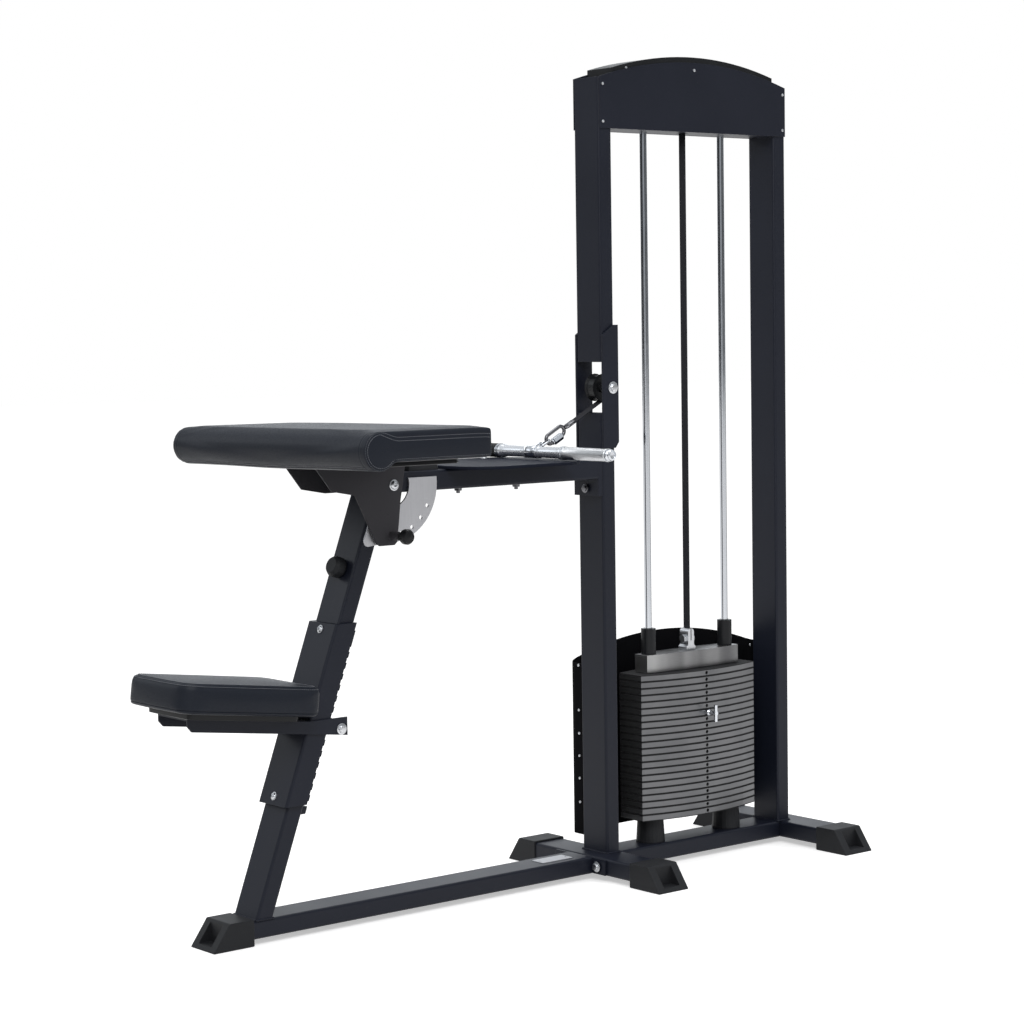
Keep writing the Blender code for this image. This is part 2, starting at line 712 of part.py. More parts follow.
def cheeks():
    """The two plates that join the halves of the front upright and carry the middle pulley."""
    front, rear = TOWER_FRONT, UPRIGHT_X + CHEEK_REACH
    low, high = MID_PULLEY_Z - CHEEK_BELOW, MID_PULLEY_Z + CHEEK_ABOVE
    outline = [(front, low), (rear - CHEEK_CHAMFER * 0.75, low),
               (rear, low + CHEEK_CHAMFER), (rear, high),
               (rear - CHEEK_CHAMFER, high), (front, high - CHEEK_SHOULDER)]
    hole = arc((MID_PULLEY_X, MID_PULLEY_Z), AXLE_RADIUS + GAP, 0, 345, 23)
    inner = HALF_TUBE + GAP
    outer = inner + CHEEK_THICKNESS
    place(prism([outline, hole], -outer, -inner), "cheek_right", "frame", MACHINE)
    place(prism([outline, hole], inner, outer), "cheek_left", "frame", MACHINE)
    head = outer + GAP
    profile = [(0, head + 0.007), (0.0075, head + 0.006), (0.0105, head + 0.003), (0.0105, head),
               (AXLE_RADIUS, head), (AXLE_RADIUS, -head), (0.0105, -head), (0.0105, -head - 0.003),
               (0.0075, -head - 0.006), (0, -head - 0.007)]
    place_round(turned(profile, (MID_PULLEY_X, 0, MID_PULLEY_Z), "Y", 16), "mid_axle", "steel")


def header():
    """The header's side plates, its arched cover and the plate that holds the guide rods."""
    front, rear = TOWER_FRONT + 0.002, TOWER_REAR - 0.002
    outline = bowed_edge(front, rear, UPRIGHT_TOP, HEADER_RISE, 20)
    outline += [(front, HEADER_BOTTOM), (rear, HEADER_BOTTOM)]
    inner = HALF_TUBE + GAP
    outer = inner + HEADER_THICKNESS
    place(prism([outline], -outer, -inner), "header_plate_right", "frame", MACHINE)
    far = place(prism([outline], inner, outer), "header_plate_left", "frame", MACHINE)
    join(far, [cylinder(AXLE_RADIUS, -inner + GAP, inner + 0.001, (x, 0, HEADER_PULLEY_Z), "Y")
               for x in (FRONT_PULLEY_X, REAR_PULLEY_X)])
    header_cover()
    rod_plate()


def header_cover():
    """The arched sheet channel over the header, open below."""
    left, right = TOWER_FRONT + COVER_INSET, TOWER_REAR - COVER_INSET
    ends = UPRIGHT_TOP + GAP + COVER_DEPTH
    upper = bowed_edge(left, right, ends, COVER_RISE, 20)
    lower = [(x, z - COVER_DEPTH) for x, z in reversed(upper)]
    inner_upper = [(x, z - HEADER_THICKNESS) for x, z in
                   bowed_edge(left + HEADER_THICKNESS, right - HEADER_THICKNESS, ends, COVER_RISE, 20)]
    inner_lower = [(x, z - 2 * COVER_DEPTH) for x, z in reversed(inner_upper)]
    side = HALF_TUBE - GAP
    cover = place(prism([upper + lower], -side, side), "header_cover", "frame", MACHINE)
    wall = side - HEADER_THICKNESS
    cut(cover, [prism([inner_upper + inner_lower], -wall, wall)])


def rod_plate():
    """The plate between the uprights that the guide rods and both strap runs go through."""
    front, rear = UPRIGHT_X + TUBE_DEPTH / 2 + GAP, REAR_UPRIGHT_X - TUBE_DEPTH / 2 - GAP
    half = HALF_TUBE - GAP
    outline = [(front, -half), (rear, -half), (rear, half), (front, half)]
    holes = [arc((x, 0), ROD_RADIUS + GAP, 0, 345, 23) for x in ROD_X]
    for x in (TOWER_MID, DOWN_RUN_X):
        holes.append(rounded_rectangle((x, 0), STRAP_SLOT_LENGTH, STRAP_SLOT_WIDTH, 0.004, 2))
    bottom = HEADER_BOTTOM + GAP
    place(prism([outline, *holes], bottom, bottom + ROD_PLATE_THICKNESS, "XY"), "rod_plate", "frame",
          MACHINE)


def shroud():
    """The sheet guard behind the stack, with flanges on the uprights and an arched top."""
    start = HALF_TUBE + GAP
    front, rear = TOWER_FRONT + 0.002, TOWER_REAR - 0.002
    back = start + SHROUD_DEPTH
    half_path = [(front + SHROUD_FLANGE, start), (front, start)]
    half_path += arc((front + SHROUD_CORNER, back - SHROUD_CORNER), SHROUD_CORNER, 180, 90, 5)
    middle = (front + rear) / 2
    path = half_path + [(2 * middle - x, y) for x, y in reversed(half_path)]
    inner_half = [(front + SHROUD_FLANGE, start + SHROUD_THICKNESS),
                  (front + SHROUD_THICKNESS, start + SHROUD_THICKNESS)]
    inner_half += arc((front + SHROUD_CORNER, back - SHROUD_CORNER), SHROUD_CORNER - SHROUD_THICKNESS,
                      180, 90, 5)
    inner = inner_half + [(2 * middle - x, y) for x, y in reversed(inner_half)]
    sheet = place(prism([path + inner[::-1]], SHROUD_BOTTOM, SHROUD_TOP, "XY"), "shroud", "frame",
                  MACHINE)
    arch = bowed_edge(front - 0.001, rear + 0.001, SHROUD_TOP - SHROUD_RISE, SHROUD_RISE, 20)
    above = [(front - 0.02, arch[-1][1]), (front - 0.02, SHROUD_TOP + 0.05),
             (rear + 0.02, SHROUD_TOP + 0.05), (rear + 0.02, arch[0][1])]
    cut(sheet, [prism([arch + above], start - 0.02, back + 0.02)])


# Weight stack

def plate_outline(steps=7):
    """A weight plate from above, bulging to the front and the back."""
    half, corner = PLATE_LENGTH / 2, PLATE_END_WIDTH / 2
    front = bowed_edge(-half, half, corner, PLATE_BULGE, steps)
    back = [(-x, -y) for x, y in front]
    return [(TOWER_MID + x, y) for x, y in front + back]


def plate_block(bottom, count, name, parent):
    """Plates that rest on each other, with the line between each two, and their holes."""
    outline = plate_outline()
    narrow = inset(outline, PLATE_GROOVE_DEPTH)
    rings = []
    for number in range(count):
        low = bottom + number * PLATE_PITCH
        high = low + PLATE_PITCH - PLATE_GROOVE
        rings += [[(x, y, low) for x, y in outline], [(x, y, high) for x, y in outline]]
        if number < count - 1:
            rings += [[(x, y, high) for x, y in narrow],
                      [(x, y, high + PLATE_GROOVE) for x, y in narrow]]
    part = place(loft(rings), name, "plate", parent)
    top = bottom + count * PLATE_PITCH
    shafts = [cylinder(ROD_RADIUS + ROD_PLAY, bottom - 0.02, top + 0.02, (x, 0, 0), steps=16)
              for x in ROD_X]
    shafts.append(cylinder(STEM_RADIUS + STEM_PLAY, bottom - 0.02, top + 0.02, (TOWER_MID, 0, 0),
                           steps=12))
    front = PLATE_END_WIDTH / 2 + PLATE_BULGE
    pins = [cylinder(PIN_RADIUS + PIN_PLAY, -front - 0.01, -STEM_RADIUS,
                     (TOWER_MID, 0, bottom + (number + 0.5) * PLATE_PITCH - PLATE_GROOVE / 2), "Y", 6)
            for number in range(count)]
    return cut(part, [combined(shafts), combined(pins)])


def stack():
    """The resting plates, and the head plate with all that rises with it."""
    plate_block(STACK_BOTTOM, PLATES - LIFTED_PLATES, "plates_resting", MACHINE)
    lift = empty("lift", (MACHINE_X + TOWER_MID, 0, HEAD_TOP), MACHINE)
    plate_block(SPLIT_Z, LIFTED_PLATES, "plates_lifted", lift)
    head_plate(lift)
    for name, x in zip(("front", "rear"), ROD_X):
        bushing = sleeve_of(BUSHING_RADIUS, ROD_RADIUS + ROD_PLAY / 2, HEAD_TOP + GAP,
                            HEAD_TOP + GAP + BUSHING_HEIGHT, (x, 0, 0))
        place_round(bushing, f"bushing_{name}", "rubber", lift)
    stem = place_round(cylinder(STEM_RADIUS, STACK_BOTTOM, HEAD_BOTTOM - GAP, (TOWER_MID, 0, 0), steps=12),
                       "selector_stem", "steel", lift)
    levels = [STACK_BOTTOM + (number + 0.5) * PLATE_PITCH - PLATE_GROOVE / 2 for number in range(PLATES)]
    cut(stem, [combined([cylinder(PIN_RADIUS + PIN_PLAY, -0.03, 0.03, (TOWER_MID, 0, z), "Y", 6)
                         for z in levels])])
    strap_clamp(lift)
    selector_pin(lift)


def head_plate(lift):
    """The thick plate that the strap lifts, with a bowed face."""
    half, corner = HEAD_LENGTH / 2, HEAD_WIDTH / 2
    front = bowed_edge(-half, half, corner, HEAD_BULGE, 10)
    outline = [(TOWER_MID + x, y) for x, y in front + [(-x, -y) for x, y in front]]
    holes = [arc((x, 0), ROD_RADIUS + ROD_PLAY / 2, 0, 345, 23) for x in ROD_X]
    place(prism([outline, *holes], HEAD_BOTTOM, HEAD_TOP, "XY"), "head_plate", "steel", lift)


def strap_clamp(lift):
    """The clevis on the head plate that grips the strap's end, with its cross bolt."""
    low, high = HEAD_TOP + GAP, HEAD_TOP + GAP + CLAMP_HEIGHT
    half = CLAMP_DEPTH / 2
    side = [(TOWER_MID - half - 0.006, low), (TOWER_MID + half + 0.006, low),
            (TOWER_MID + half + 0.006, low + 0.008), (TOWER_MID + half, low + 0.014)]
    side += arc((TOWER_MID, high - half), half, 0, 180, 10)
    side += [(TOWER_MID - half, low + 0.014), (TOWER_MID - half - 0.006, low + 0.008)]
    part = place(prism([side], -CLAMP_WIDTH / 2, CLAMP_WIDTH / 2), "strap_clamp", "steel", lift)
    slot = STRAP_THICKNESS / 2 + GAP
    cut(part, [box((TOWER_MID - slot, TOWER_MID + slot), (-CLAMP_WIDTH, CLAMP_WIDTH),
                   (high - CLAMP_GRIP - GAP, high + 0.02))])
    nut = cylinder(0.012, -0.008, 0.001, (TOWER_MID - half, 0, low + 0.030), "X", 6)
    far = cylinder(0.012, -0.001, 0.008, (TOWER_MID + half, 0, low + 0.030), "X", 6)
    join(part, [nut, far])


def selector_pin(lift):
    """The pin that picks the lifted plates, with its cross handle."""
    pin = empty("pin_slide", (MACHINE_X + TOWER_MID, 0, PIN_Z), lift)
    front = PLATE_END_WIDTH / 2 + PLATE_BULGE
    collar = front + 0.004
    profile = [(0, STEM_RADIUS), (PIN_RADIUS * 0.5, STEM_RADIUS), (PIN_RADIUS, STEM_RADIUS - 0.003),
               (PIN_RADIUS, -front - GAP),
               (0.009, -front - GAP), (0.009, -collar - 0.006), (0.006, -collar - 0.010),
               (0.006, -collar - 0.034), (0, -collar - 0.034)]
    part = place_round(turned(profile, (TOWER_MID, 0, PIN_Z), "Y", 16), "selector_pin", "steel", pin)
    half = PIN_HANDLE_LENGTH / 2
    handle = cylinder(PIN_HANDLE_RADIUS, -half, half, (TOWER_MID, -collar - 0.030, PIN_Z), "Z", 12)
    join(part, [handle])


# Strap and pulleys

def pulley(name, x, z, radius, bore_side):
    """A grooved strap pulley on an axle along Y, with its own axis empty."""
    axis = empty(f"{name}_axis", (MACHINE_X + x, 0, z), MACHINE)
    half, lip = PULLEY_WIDTH / 2, radius + PULLEY_LIP
    groove = half - PULLEY_LIP_WIDTH
    hub = bore_side + PULLEY_HUB_WALL
    web = radius - PULLEY_RIM
    profile = [(hub, half), (hub, half - PULLEY_WEB_INSET), (web, half - PULLEY_WEB_INSET), (web, half),
               (lip, half), (radius, groove), (radius, -groove), (lip, -half), (web, -half),
               (web, -half + PULLEY_WEB_INSET), (hub, -half + PULLEY_WEB_INSET), (hub, -half),
               (bore_side, -half), (bore_side, half)]
    place_round(turned(profile, (x, 0, z), "Y", PULLEY_STEPS, closed=True), name, "rubber", axis)


def strap_band(path):
    """A flat strap along a path in the XZ plane."""
    half = STRAP_THICKNESS / 2
    left, right = [], []
    for i, (x, z) in enumerate(path):
        before = Vector(path[max(i - 1, 0)])
        after = Vector(path[min(i + 1, len(path) - 1)])
        along = (after - before).normalized()
        left.append((x - along.y * half, z + along.x * half))
        right.append((x + along.y * half, z - along.x * half))
    return prism([left + right[::-1]], -STRAP_WIDTH / 2, STRAP_WIDTH / 2)


def straps():
    """The strap from the stack over the header, down to the middle pulley and out to the bar."""
    around = PULLEY_RADIUS + STRAP_OFFSET
    path = arc((REAR_PULLEY_X, HEADER_PULLEY_Z), around, 0, 90, 8)
    path += arc((FRONT_PULLEY_X, HEADER_PULLEY_Z), around, 90, 180, 8)
    path += arc((MID_PULLEY_X, MID_PULLEY_Z), MID_PULLEY_RADIUS + STRAP_OFFSET, 0, TAIL_ANGLE - 89, 6)
    place(strap_band(path), "strap_upper", "strap", MACHINE)
    run = empty("strap_run", (MACHINE_X + TOWER_MID, 0, HEADER_PULLEY_Z), MACHINE)
    bottom = HEAD_TOP + GAP + CLAMP_HEIGHT - CLAMP_GRIP
    place(strap_band([(TOWER_MID, bottom), (TOWER_MID, HEADER_PULLEY_Z - GAP)]), "strap_lift", "strap", run)
    pulley("pulley_rear", REAR_PULLEY_X, HEADER_PULLEY_Z, PULLEY_RADIUS, AXLE_RADIUS + GAP)
    pulley("pulley_front", FRONT_PULLEY_X, HEADER_PULLEY_Z, PULLEY_RADIUS, AXLE_RADIUS + GAP)
    pulley("pulley_mid", MID_PULLEY_X, MID_PULLEY_Z, MID_PULLEY_RADIUS, AXLE_RADIUS + GAP)


def tail_point(distance, side=0.0, across=0.0):
    """A place along the strap's run to the bar, with offsets square to it."""
    angle = math.radians(TAIL_ANGLE - 90)
    around = MID_PULLEY_RADIUS + STRAP_OFFSET
    start = Vector((MID_PULLEY_X + around * math.cos(angle), 0, MID_PULLEY_Z + around * math.sin(angle)))
    return start + TAIL_DIRECTION * distance + TAIL_UP * side + Vector((0, across, 0))


def bar_reach():
    """Length of the strap's run at which the bar's axis lies at its resting height."""
    start = tail_point(0)
    return (start.z - BAR_Z) / -TAIL_DIRECTION.z


def bar_group():
    """The strap's end, its quick link and the bar, which swing together about the middle pulley."""
    swing = empty("bar_swing", (MACHINE_X + MID_PULLEY_X, 0, MID_PULLEY_Z), MACHINE)
    reach = bar_reach()
    ring_top = reach - HANGER_LENGTH
    link_end = ring_top + LINK_WIRE + HANGER_WIRE + LINK_PLAY
    hook_end = link_end - LINK_LENGTH + LINK_WIRE + HOOK_WIRE + LINK_PLAY
    hook_start = hook_end - HOOK_LENGTH
    eye_middle = hook_start - EYE_RADIUS + EYE_WIRE + HOOK_WIRE + LINK_PLAY
    strap_end(swing, eye_middle)
    quick_link(swing, hook_start)
    link = loop(link_end - LINK_LENGTH, LINK_LENGTH, LINK_WIDTH, "across")
    place_round(wire(link, LINK_WIRE, closed=True, sides=1), "bar_link", "chrome", swing)
    hanger(swing, ring_top, reach)
    bar(swing, tail_point(reach))


def loop(start, length, width, plane):
    """The wire's middle line of a link with round ends, in the swing's plane or across it."""
    radius = width / 2
    points = []
    for centre, first in ((start + radius, 90), (start + length - radius, -90)):
        for angle in range(first, first + 181, 30):
            along = centre + radius * math.cos(math.radians(angle))
            side = radius * math.sin(math.radians(angle))
            points.append(tail_point(along, 0, side) if plane == "across" else tail_point(along, side))
    return points


def strap_end(swing, eye_middle):
    """The strap's run to the bar, with its crimp and the flat eye behind it."""
    length = eye_middle - EYE_RADIUS - CRIMP_LENGTH / 2
    first, last = tail_point(SWING_GAP), tail_point(length)
    tail = place(strap_band([(first.x, first.z), (last.x, last.z)]), "strap_tail", "strap", swing)
    half = CRIMP_THICKNESS / 2
    outline = [(-CRIMP_LENGTH / 2, -half), (CRIMP_LENGTH / 2, -half), (CRIMP_LENGTH / 2, half),
               (-CRIMP_LENGTH / 2, half)]
    crimp = prism([outline], -CRIMP_WIDTH / 2, CRIMP_WIDTH / 2)
    turn = Matrix.Rotation(math.radians(180 - TAIL_ANGLE), 4, "Y")
    crimp.transform(Matrix.Translation(last) @ turn)
    ring = [tail_point(eye_middle + EYE_RADIUS * math.cos(a), 0, EYE_RADIUS * math.sin(a))
            for a in [math.tau * step / 16 for step in range(16)]]
    join(tail, [crimp, wire(ring, EYE_WIRE, closed=True, sides=1)])


def quick_link(swing, start):
    """A long steel link that opens at the barrel nut on its lower side."""
    radius = HOOK_WIDTH / 2
    link = place_round(wire(loop(start, HOOK_LENGTH, HOOK_WIDTH, "along"), HOOK_WIRE, closed=True),
                       "snap_hook", "chrome", swing)
    middle = start + HOOK_LENGTH / 2
    nut = [tail_point(middle - NUT_LENGTH / 2, -radius), tail_point(middle + NUT_LENGTH / 2, -radius)]
    join(link, [wire(nut, NUT_RADIUS, sides=2)])


def hanger(swing, top, reach):
    """The eye that the bar hangs from, on a sleeve that the bar turns in."""
    radius = HANGER_WIDTH / 2
    end = reach - math.sqrt(BAR_BARREL_RADIUS ** 2 - radius ** 2) + HANGER_WIRE / 2
    points = [tail_point(end, radius)]
    for angle in range(90, 271, 30):
        along = top + radius + radius * math.cos(math.radians(angle))
        points.append(tail_point(along, radius * math.sin(math.radians(angle))))
    points.append(tail_point(end, -radius))
    half = BAR_BARREL_LENGTH / 2
    sleeve = sleeve_of(BAR_BARREL_RADIUS, BAR_RADIUS + GAP, -half, half, tail_point(reach), "Y")
    part = place_round(sleeve, "bar_hanger", "chrome", swing)
    join(part, [wire(points, HANGER_WIRE)])


def bar(swing, centre):
    """The chromed bar with two collars beside the hanger's sleeve and a turned grip on each end."""
    turn = empty("bar_turn", Vector((MACHINE_X, 0, 0)) + centre, swing)
    half, barrel = BAR_LENGTH / 2, BAR_BARREL_LENGTH / 2
    grip_outer = half - GRIP_END_GAP
    grip_inner = grip_outer - GRIP_LENGTH
    collar = GRIP_RADIUS - 0.001
    right = [(0, half), (0.010, half), (0.0135, half - 0.004), (0.0135, grip_outer + GAP),
             (BAR_RADIUS, grip_outer + GAP), (BAR_RADIUS, grip_inner - GAP), (collar, grip_inner - GAP),
             (collar, grip_inner - 0.010), (BAR_RADIUS, grip_inner - 0.022),
             (BAR_RADIUS, barrel + 0.010), (BAR_BARREL_RADIUS, barrel + 0.008),
             (BAR_BARREL_RADIUS, barrel + GAP), (BAR_RADIUS, barrel + GAP)]
    profile = right + [(radius, -y) for radius, y in reversed(right)]
    place_round(turned(profile, centre, "Y", 16), "bar", "chrome", turn)
    for name, side in (("right", -1), ("left", 1)):
        low, high = sorted((side * grip_inner, side * grip_outer))
        profile = [(GRIP_RADIUS - 0.002, high), (GRIP_RADIUS, high - 0.004), (GRIP_RADIUS, low + 0.004),
                   (GRIP_RADIUS - 0.002, low), (BAR_RADIUS + GAP, low), (BAR_RADIUS + GAP, high)]
        look = "rubber" if name == "left" else "steel"
        place_round(turned(profile, centre, "Y", 20, closed=True), f"bar_grip_{name}", look, turn)


# Post, rack and seat

def sheared(mesh):
    """Leans a mesh that stands on the floor, as the post leans."""
    mesh.transform(Matrix(((1, 0, LEAN, 0), (0, 1, 0, 0), (0, 0, 1, 0), (0, 0, 0, 1))))
    return mesh


def post():
    """The leaning post, its wear sleeve, the seat's rack and the arm pad's rubber stop."""
    middle = (POST_FLOOR_X + POST_SECTION / 2, 0)
    section = tube_outlines(middle, POST_SECTION, TUBE_WIDTH)
    place(sheared(prism(section, FLOOR_TOP + GAP, BEAM_BOTTOM - GAP, "XY")), "post", "frame", MACHINE)
    front, back = POST_FLOOR_X - SLEEVE_PROUD, POST_FLOOR_X + POST_SECTION
    outer, inner = SLEEVE_WIDTH / 2, HALF_TUBE + GAP
    wall = POST_FLOOR_X - GAP
    fold = TUBE_CORNER / 2
    outline = [(back, -outer), (back, -inner), (wall + fold, -inner), (wall, -inner + fold),
               (wall, inner - fold), (wall + fold, inner), (back, inner), (back, outer)]
    corner = TUBE_CORNER
    outline += arc((front + corner, outer - corner), corner, 90, 180, 3)
    outline += arc((front + corner, -outer + corner), corner, 180, 270, 3)
    place(sheared(prism([outline], SLEEVE_BOTTOM, SLEEVE_TOP, "XY")), "post_sleeve", "frame", MACHINE)
    rack()
    pad_stop()


def rack():
    """The notched strip behind the post that the seat's carriage catches in."""
    near = POST_FLOOR_X + POST_SECTION + GAP
    tip = near + RACK_DEPTH
    outline = [(near + LEAN * RACK_TOP, RACK_TOP), (near + LEAN * RACK_BOTTOM, RACK_BOTTOM)]
    count = int((RACK_TOP - RACK_BOTTOM - 0.02) / RACK_PITCH)
    floor = tip - RACK_NOTCH_DEPTH
    outline.append((tip + LEAN * RACK_BOTTOM, RACK_BOTTOM))
    for number in range(count):
        low = RACK_BOTTOM + 0.018 + number * RACK_PITCH
        outline += [(tip + LEAN * low, low), (floor + LEAN * low, low + 0.001),
                    (floor + LEAN * (low + RACK_NOTCH * 0.6), low + RACK_NOTCH * 0.6),
                    (tip + LEAN * (low + RACK_NOTCH), low + RACK_NOTCH)]
    outline.append((tip + LEAN * RACK_TOP, RACK_TOP))
    place(prism([outline], -RACK_WIDTH / 2, RACK_WIDTH / 2), "seat_rack", "frame", MACHINE)


def pad_stop():
    """The rubber buffer on the post that stops the lowered arm pad."""
    profile = [(0, STOP_LENGTH), (STOP_RADIUS * 0.75, STOP_LENGTH), (STOP_RADIUS, STOP_LENGTH * 0.75),
               (STOP_RADIUS, STOP_LENGTH * 0.2), (STOP_RADIUS * 0.8, 0), (0, 0)]
    mesh = turned(profile, (0, 0, 0), "Z", 24)
    face = Vector((post_front(STOP_Z), 0, STOP_Z))
    outward = Vector((-ALONG_POST.z, 0, ALONG_POST.x))
    turn = Vector((0, 0, 1)).rotation_difference(outward).to_matrix().to_4x4()
    mesh.transform(Matrix.Translation(face + outward * GAP) @ turn)
    place_round(mesh, "pad_stop", "rubber")


def seat():
    """The carriage that slides along the post, its rear roller and the seat cushion."""
    seat_body = empty("seat_slide", (MACHINE_X + post_front(SEAT_Z), 0, SEAT_Z), MACHINE)
    carriage(seat_body)
    cushion_seat(seat_body)


def seat_under(x):
    """Height of the cushion's underside, board included, at a place along the machine."""
    return SEAT_FRONT_Z - SEAT_BOARD - SLOPE * (x - SEAT_FRONT_X)


def carriage(seat_body):
    """A folded sheet channel under the seat, whose sides run along the post."""
    top_front = seat_under(CARRIAGE_FRONT_X) - GAP
    reach = post_front(SEAT_Z - CARRIAGE_DEPTH) + POST_SECTION + GAP + RACK_DEPTH + ROLLER_RADIUS
    low_rear = seat_under(reach + CARRIAGE_TAIL) - GAP - CARRIAGE_DEPTH
    roller_z = low_rear + ROLLER_RISE
    roller_x = post_front(roller_z) + POST_SECTION + GAP + RACK_DEPTH + ROLLER_RADIUS + ROLLER_PLAY
    rear = roller_x + CARRIAGE_TAIL
    rear_top = low_rear + CARRIAGE_REAR_HEIGHT
    knee = CARRIAGE_FRONT_X + (top_front - rear_top) / SLOPE
    outline = [(CARRIAGE_FRONT_X, top_front), (CARRIAGE_FRONT_X, top_front - CARRIAGE_DEPTH * 0.6),
               (CARRIAGE_FRONT_X + 0.012, top_front - CARRIAGE_DEPTH - 0.012 * SLOPE),
               (rear, low_rear), (rear, rear_top), (knee, rear_top)]
    outer = SLEEVE_WIDTH / 2 + CARRIAGE_PLAY + CARRIAGE_SHEET
    part = place(prism([outline], -outer, outer), "seat_carriage", "frame", seat_body)
    web = CARRIAGE_SHEET
    play = SLEEVE_PROUD + CARRIAGE_PLAY

    def under_web(x):
        return seat_under(x) - GAP - web

    corner_z = SEAT_Z
    for _ in range(8):
        corner_x = post_front(corner_z) - play
        corner_z = under_web(corner_x)
    front = CARRIAGE_FRONT_X - CARRIAGE_DEPTH
    below, above = low_rear - CARRIAGE_DEPTH, top_front + CARRIAGE_DEPTH
    behind = rear + CARRIAGE_DEPTH
    hollow = [(front, under_web(front)), (front, below), (behind, below), (behind, above),
              (post_front(above) - play, above), (corner_x, corner_z)]
    inner = outer - CARRIAGE_SHEET
    roller = Vector((roller_x, 0, roller_z))
    cut(part, [prism([hollow], -inner, inner),
               cylinder(ROLLER_PIN + GAP, -outer - 0.02, outer + 0.02, roller, "Y", 16)])
    head = outer + GAP
    profile = [(0, head + 0.006), (0.006, head + 0.005), (0.009, head + 0.002), (0.009, head),
               (ROLLER_PIN, head), (ROLLER_PIN, inner - GAP), (ROLLER_RADIUS, inner - GAP)]
    profile += [(radius, -y) for radius, y in reversed(profile)]
    place_round(turned(profile, roller, "Y", 16), "seat_roller", "steel", seat_body)


def seat_outline():
    """The seat from above: round corners and a front edge that bows outward."""
    half = SEAT_WIDTH / 2
    corner = SEAT_CORNER
    outline = arc((SEAT_LENGTH - corner, half - corner), corner, 0, 90, 5)
    outline += arc((corner, half - corner), corner, 90, 180, 5)
    for share in (0.5, 0.0, -0.5):
        outline.append((-SEAT_BOW * (1 - share * share), share * (half - corner)))
    outline += arc((corner, -half + corner), corner, 180, 270, 5)
    outline += arc((SEAT_LENGTH - corner, -half + corner), corner, 270, 360, 5)
    return outline


def cushion_seat(seat_body):
    """The cushion on its board: drawn-in sides, a seam below, a piped top edge and a crown."""
    outline = seat_outline()
    thick = SEAT_THICKNESS
    edge = SEAT_EDGE
    seam = SEAM_DEPTH
    levels = [(-SEAT_BOARD, SEAT_BOARD_INSET), (0, SEAT_BOARD_INSET), (0.0005, 0.005), (0.003, 0.001),
              (SEAT_SEAM - 0.002, 0.0005), (SEAT_SEAM, seam), (SEAT_SEAM + 0.002, 0.0005),
              (thick * 0.35, 0.0), (thick - edge, 0.0005),
              (thick - edge * 0.45, edge * 0.18), (thick - edge * 0.12, edge * 0.55),
              (thick, edge - 0.002), (thick - seam, edge), (thick, edge + 0.002),
              (thick + SEAT_CROWN * 0.5, 0.032), (thick + SEAT_CROWN * 0.85, 0.062),
              (thick + SEAT_CROWN, 0.095)]
    turn = Matrix.Rotation(math.radians(SEAT_SLOPE), 4, "Y")
    base = Vector((SEAT_FRONT_X, 0, SEAT_FRONT_Z))
    middle = Vector((SEAT_LENGTH / 2, 0))
    rings = []
    for height, distance in levels:
        ring = seat_ring(outline, distance, middle)
        rings.append([base + turn @ Vector((x, y, height)) for x, y in ring])
    soften(place(loft(rings), "seat_pad", "cover", seat_body), 50)


def seat_ring(outline, distance, middle):
    """The seat's outline drawn in by a distance, by scaling once the corners are used up."""
    if distance <= SEAT_CORNER * 0.5:
        return inset(outline, distance)
    half = SEAT_WIDTH / 2
    across = (half - distance) / half
    along = (SEAT_LENGTH / 2 - distance) / (SEAT_LENGTH / 2)
    return [(middle.x + (x - middle.x) * along, y * across) for x, y in outline]


# Upper beam and tray

def upper_beam():
    """The beam from the tower to the post, its end plate and the tray that the bar lies on."""
    plate_rear = TOWER_FRONT - GAP
    plate_front = plate_rear - END_PLATE_THICKNESS
    outer, inner = tube_outlines((0, BEAM_BOTTOM + BEAM_DEPTH / 2), TUBE_WIDTH, BEAM_DEPTH)
    part = place(prism([outer], BEAM_FRONT, plate_front - GAP, "YZ"), "upper_beam", "frame", MACHINE)
    pivot = cylinder(PIVOT_RADIUS + GAP, -0.1, 0.1, (PIVOT_X, 0, PIVOT_Z), "Y", 16)
    cut(part, [prism([inner], BEAM_FRONT + TUBE_WALL, plate_front + 0.02, "YZ"), pivot])
    half = END_PLATE_WIDTH / 2
    plate = place(box((plate_front, plate_rear), (-half, half), (BEAM_BOTTOM - END_PLATE_DROP, BEAM_TOP)),
                  "beam_end_plate", "frame", MACHINE)
    join(plate, [bolt_head((plate_front + 0.001, 0, BEAM_BOTTOM - END_PLATE_DROP * 0.62), "-X")])
    tray()


def tray():
    """A pressed sheet pan turned down at its rim, on top of the upper beam."""
    middle = (TRAY_REAR_X - TRAY_LENGTH / 2, 0)
    outline = rounded_rectangle(middle, TRAY_LENGTH, TRAY_WIDTH, TRAY_CORNER, 7)
    bottom = BEAM_TOP + GAP
    rim = 0.0025
    rings = [[(x, y, bottom) for x, y in inset(outline, TRAY_SHEET)],
             [(x, y, bottom) for x, y in outline],
             [(x, y, TRAY_TOP - rim) for x, y in outline],
             [(x, y, TRAY_TOP - rim * 0.3) for x, y in inset(outline, rim * 0.3)],
             [(x, y, TRAY_TOP) for x, y in inset(outline, rim)]]
    part = place(loft(rings), "bar_tray", "frame", MACHINE)
    inner = inset(outline, TRAY_SHEET)
    cut(part, [prism([inner], bottom - 0.02, TRAY_TOP - TRAY_SHEET, "XY")])


# Arm pad

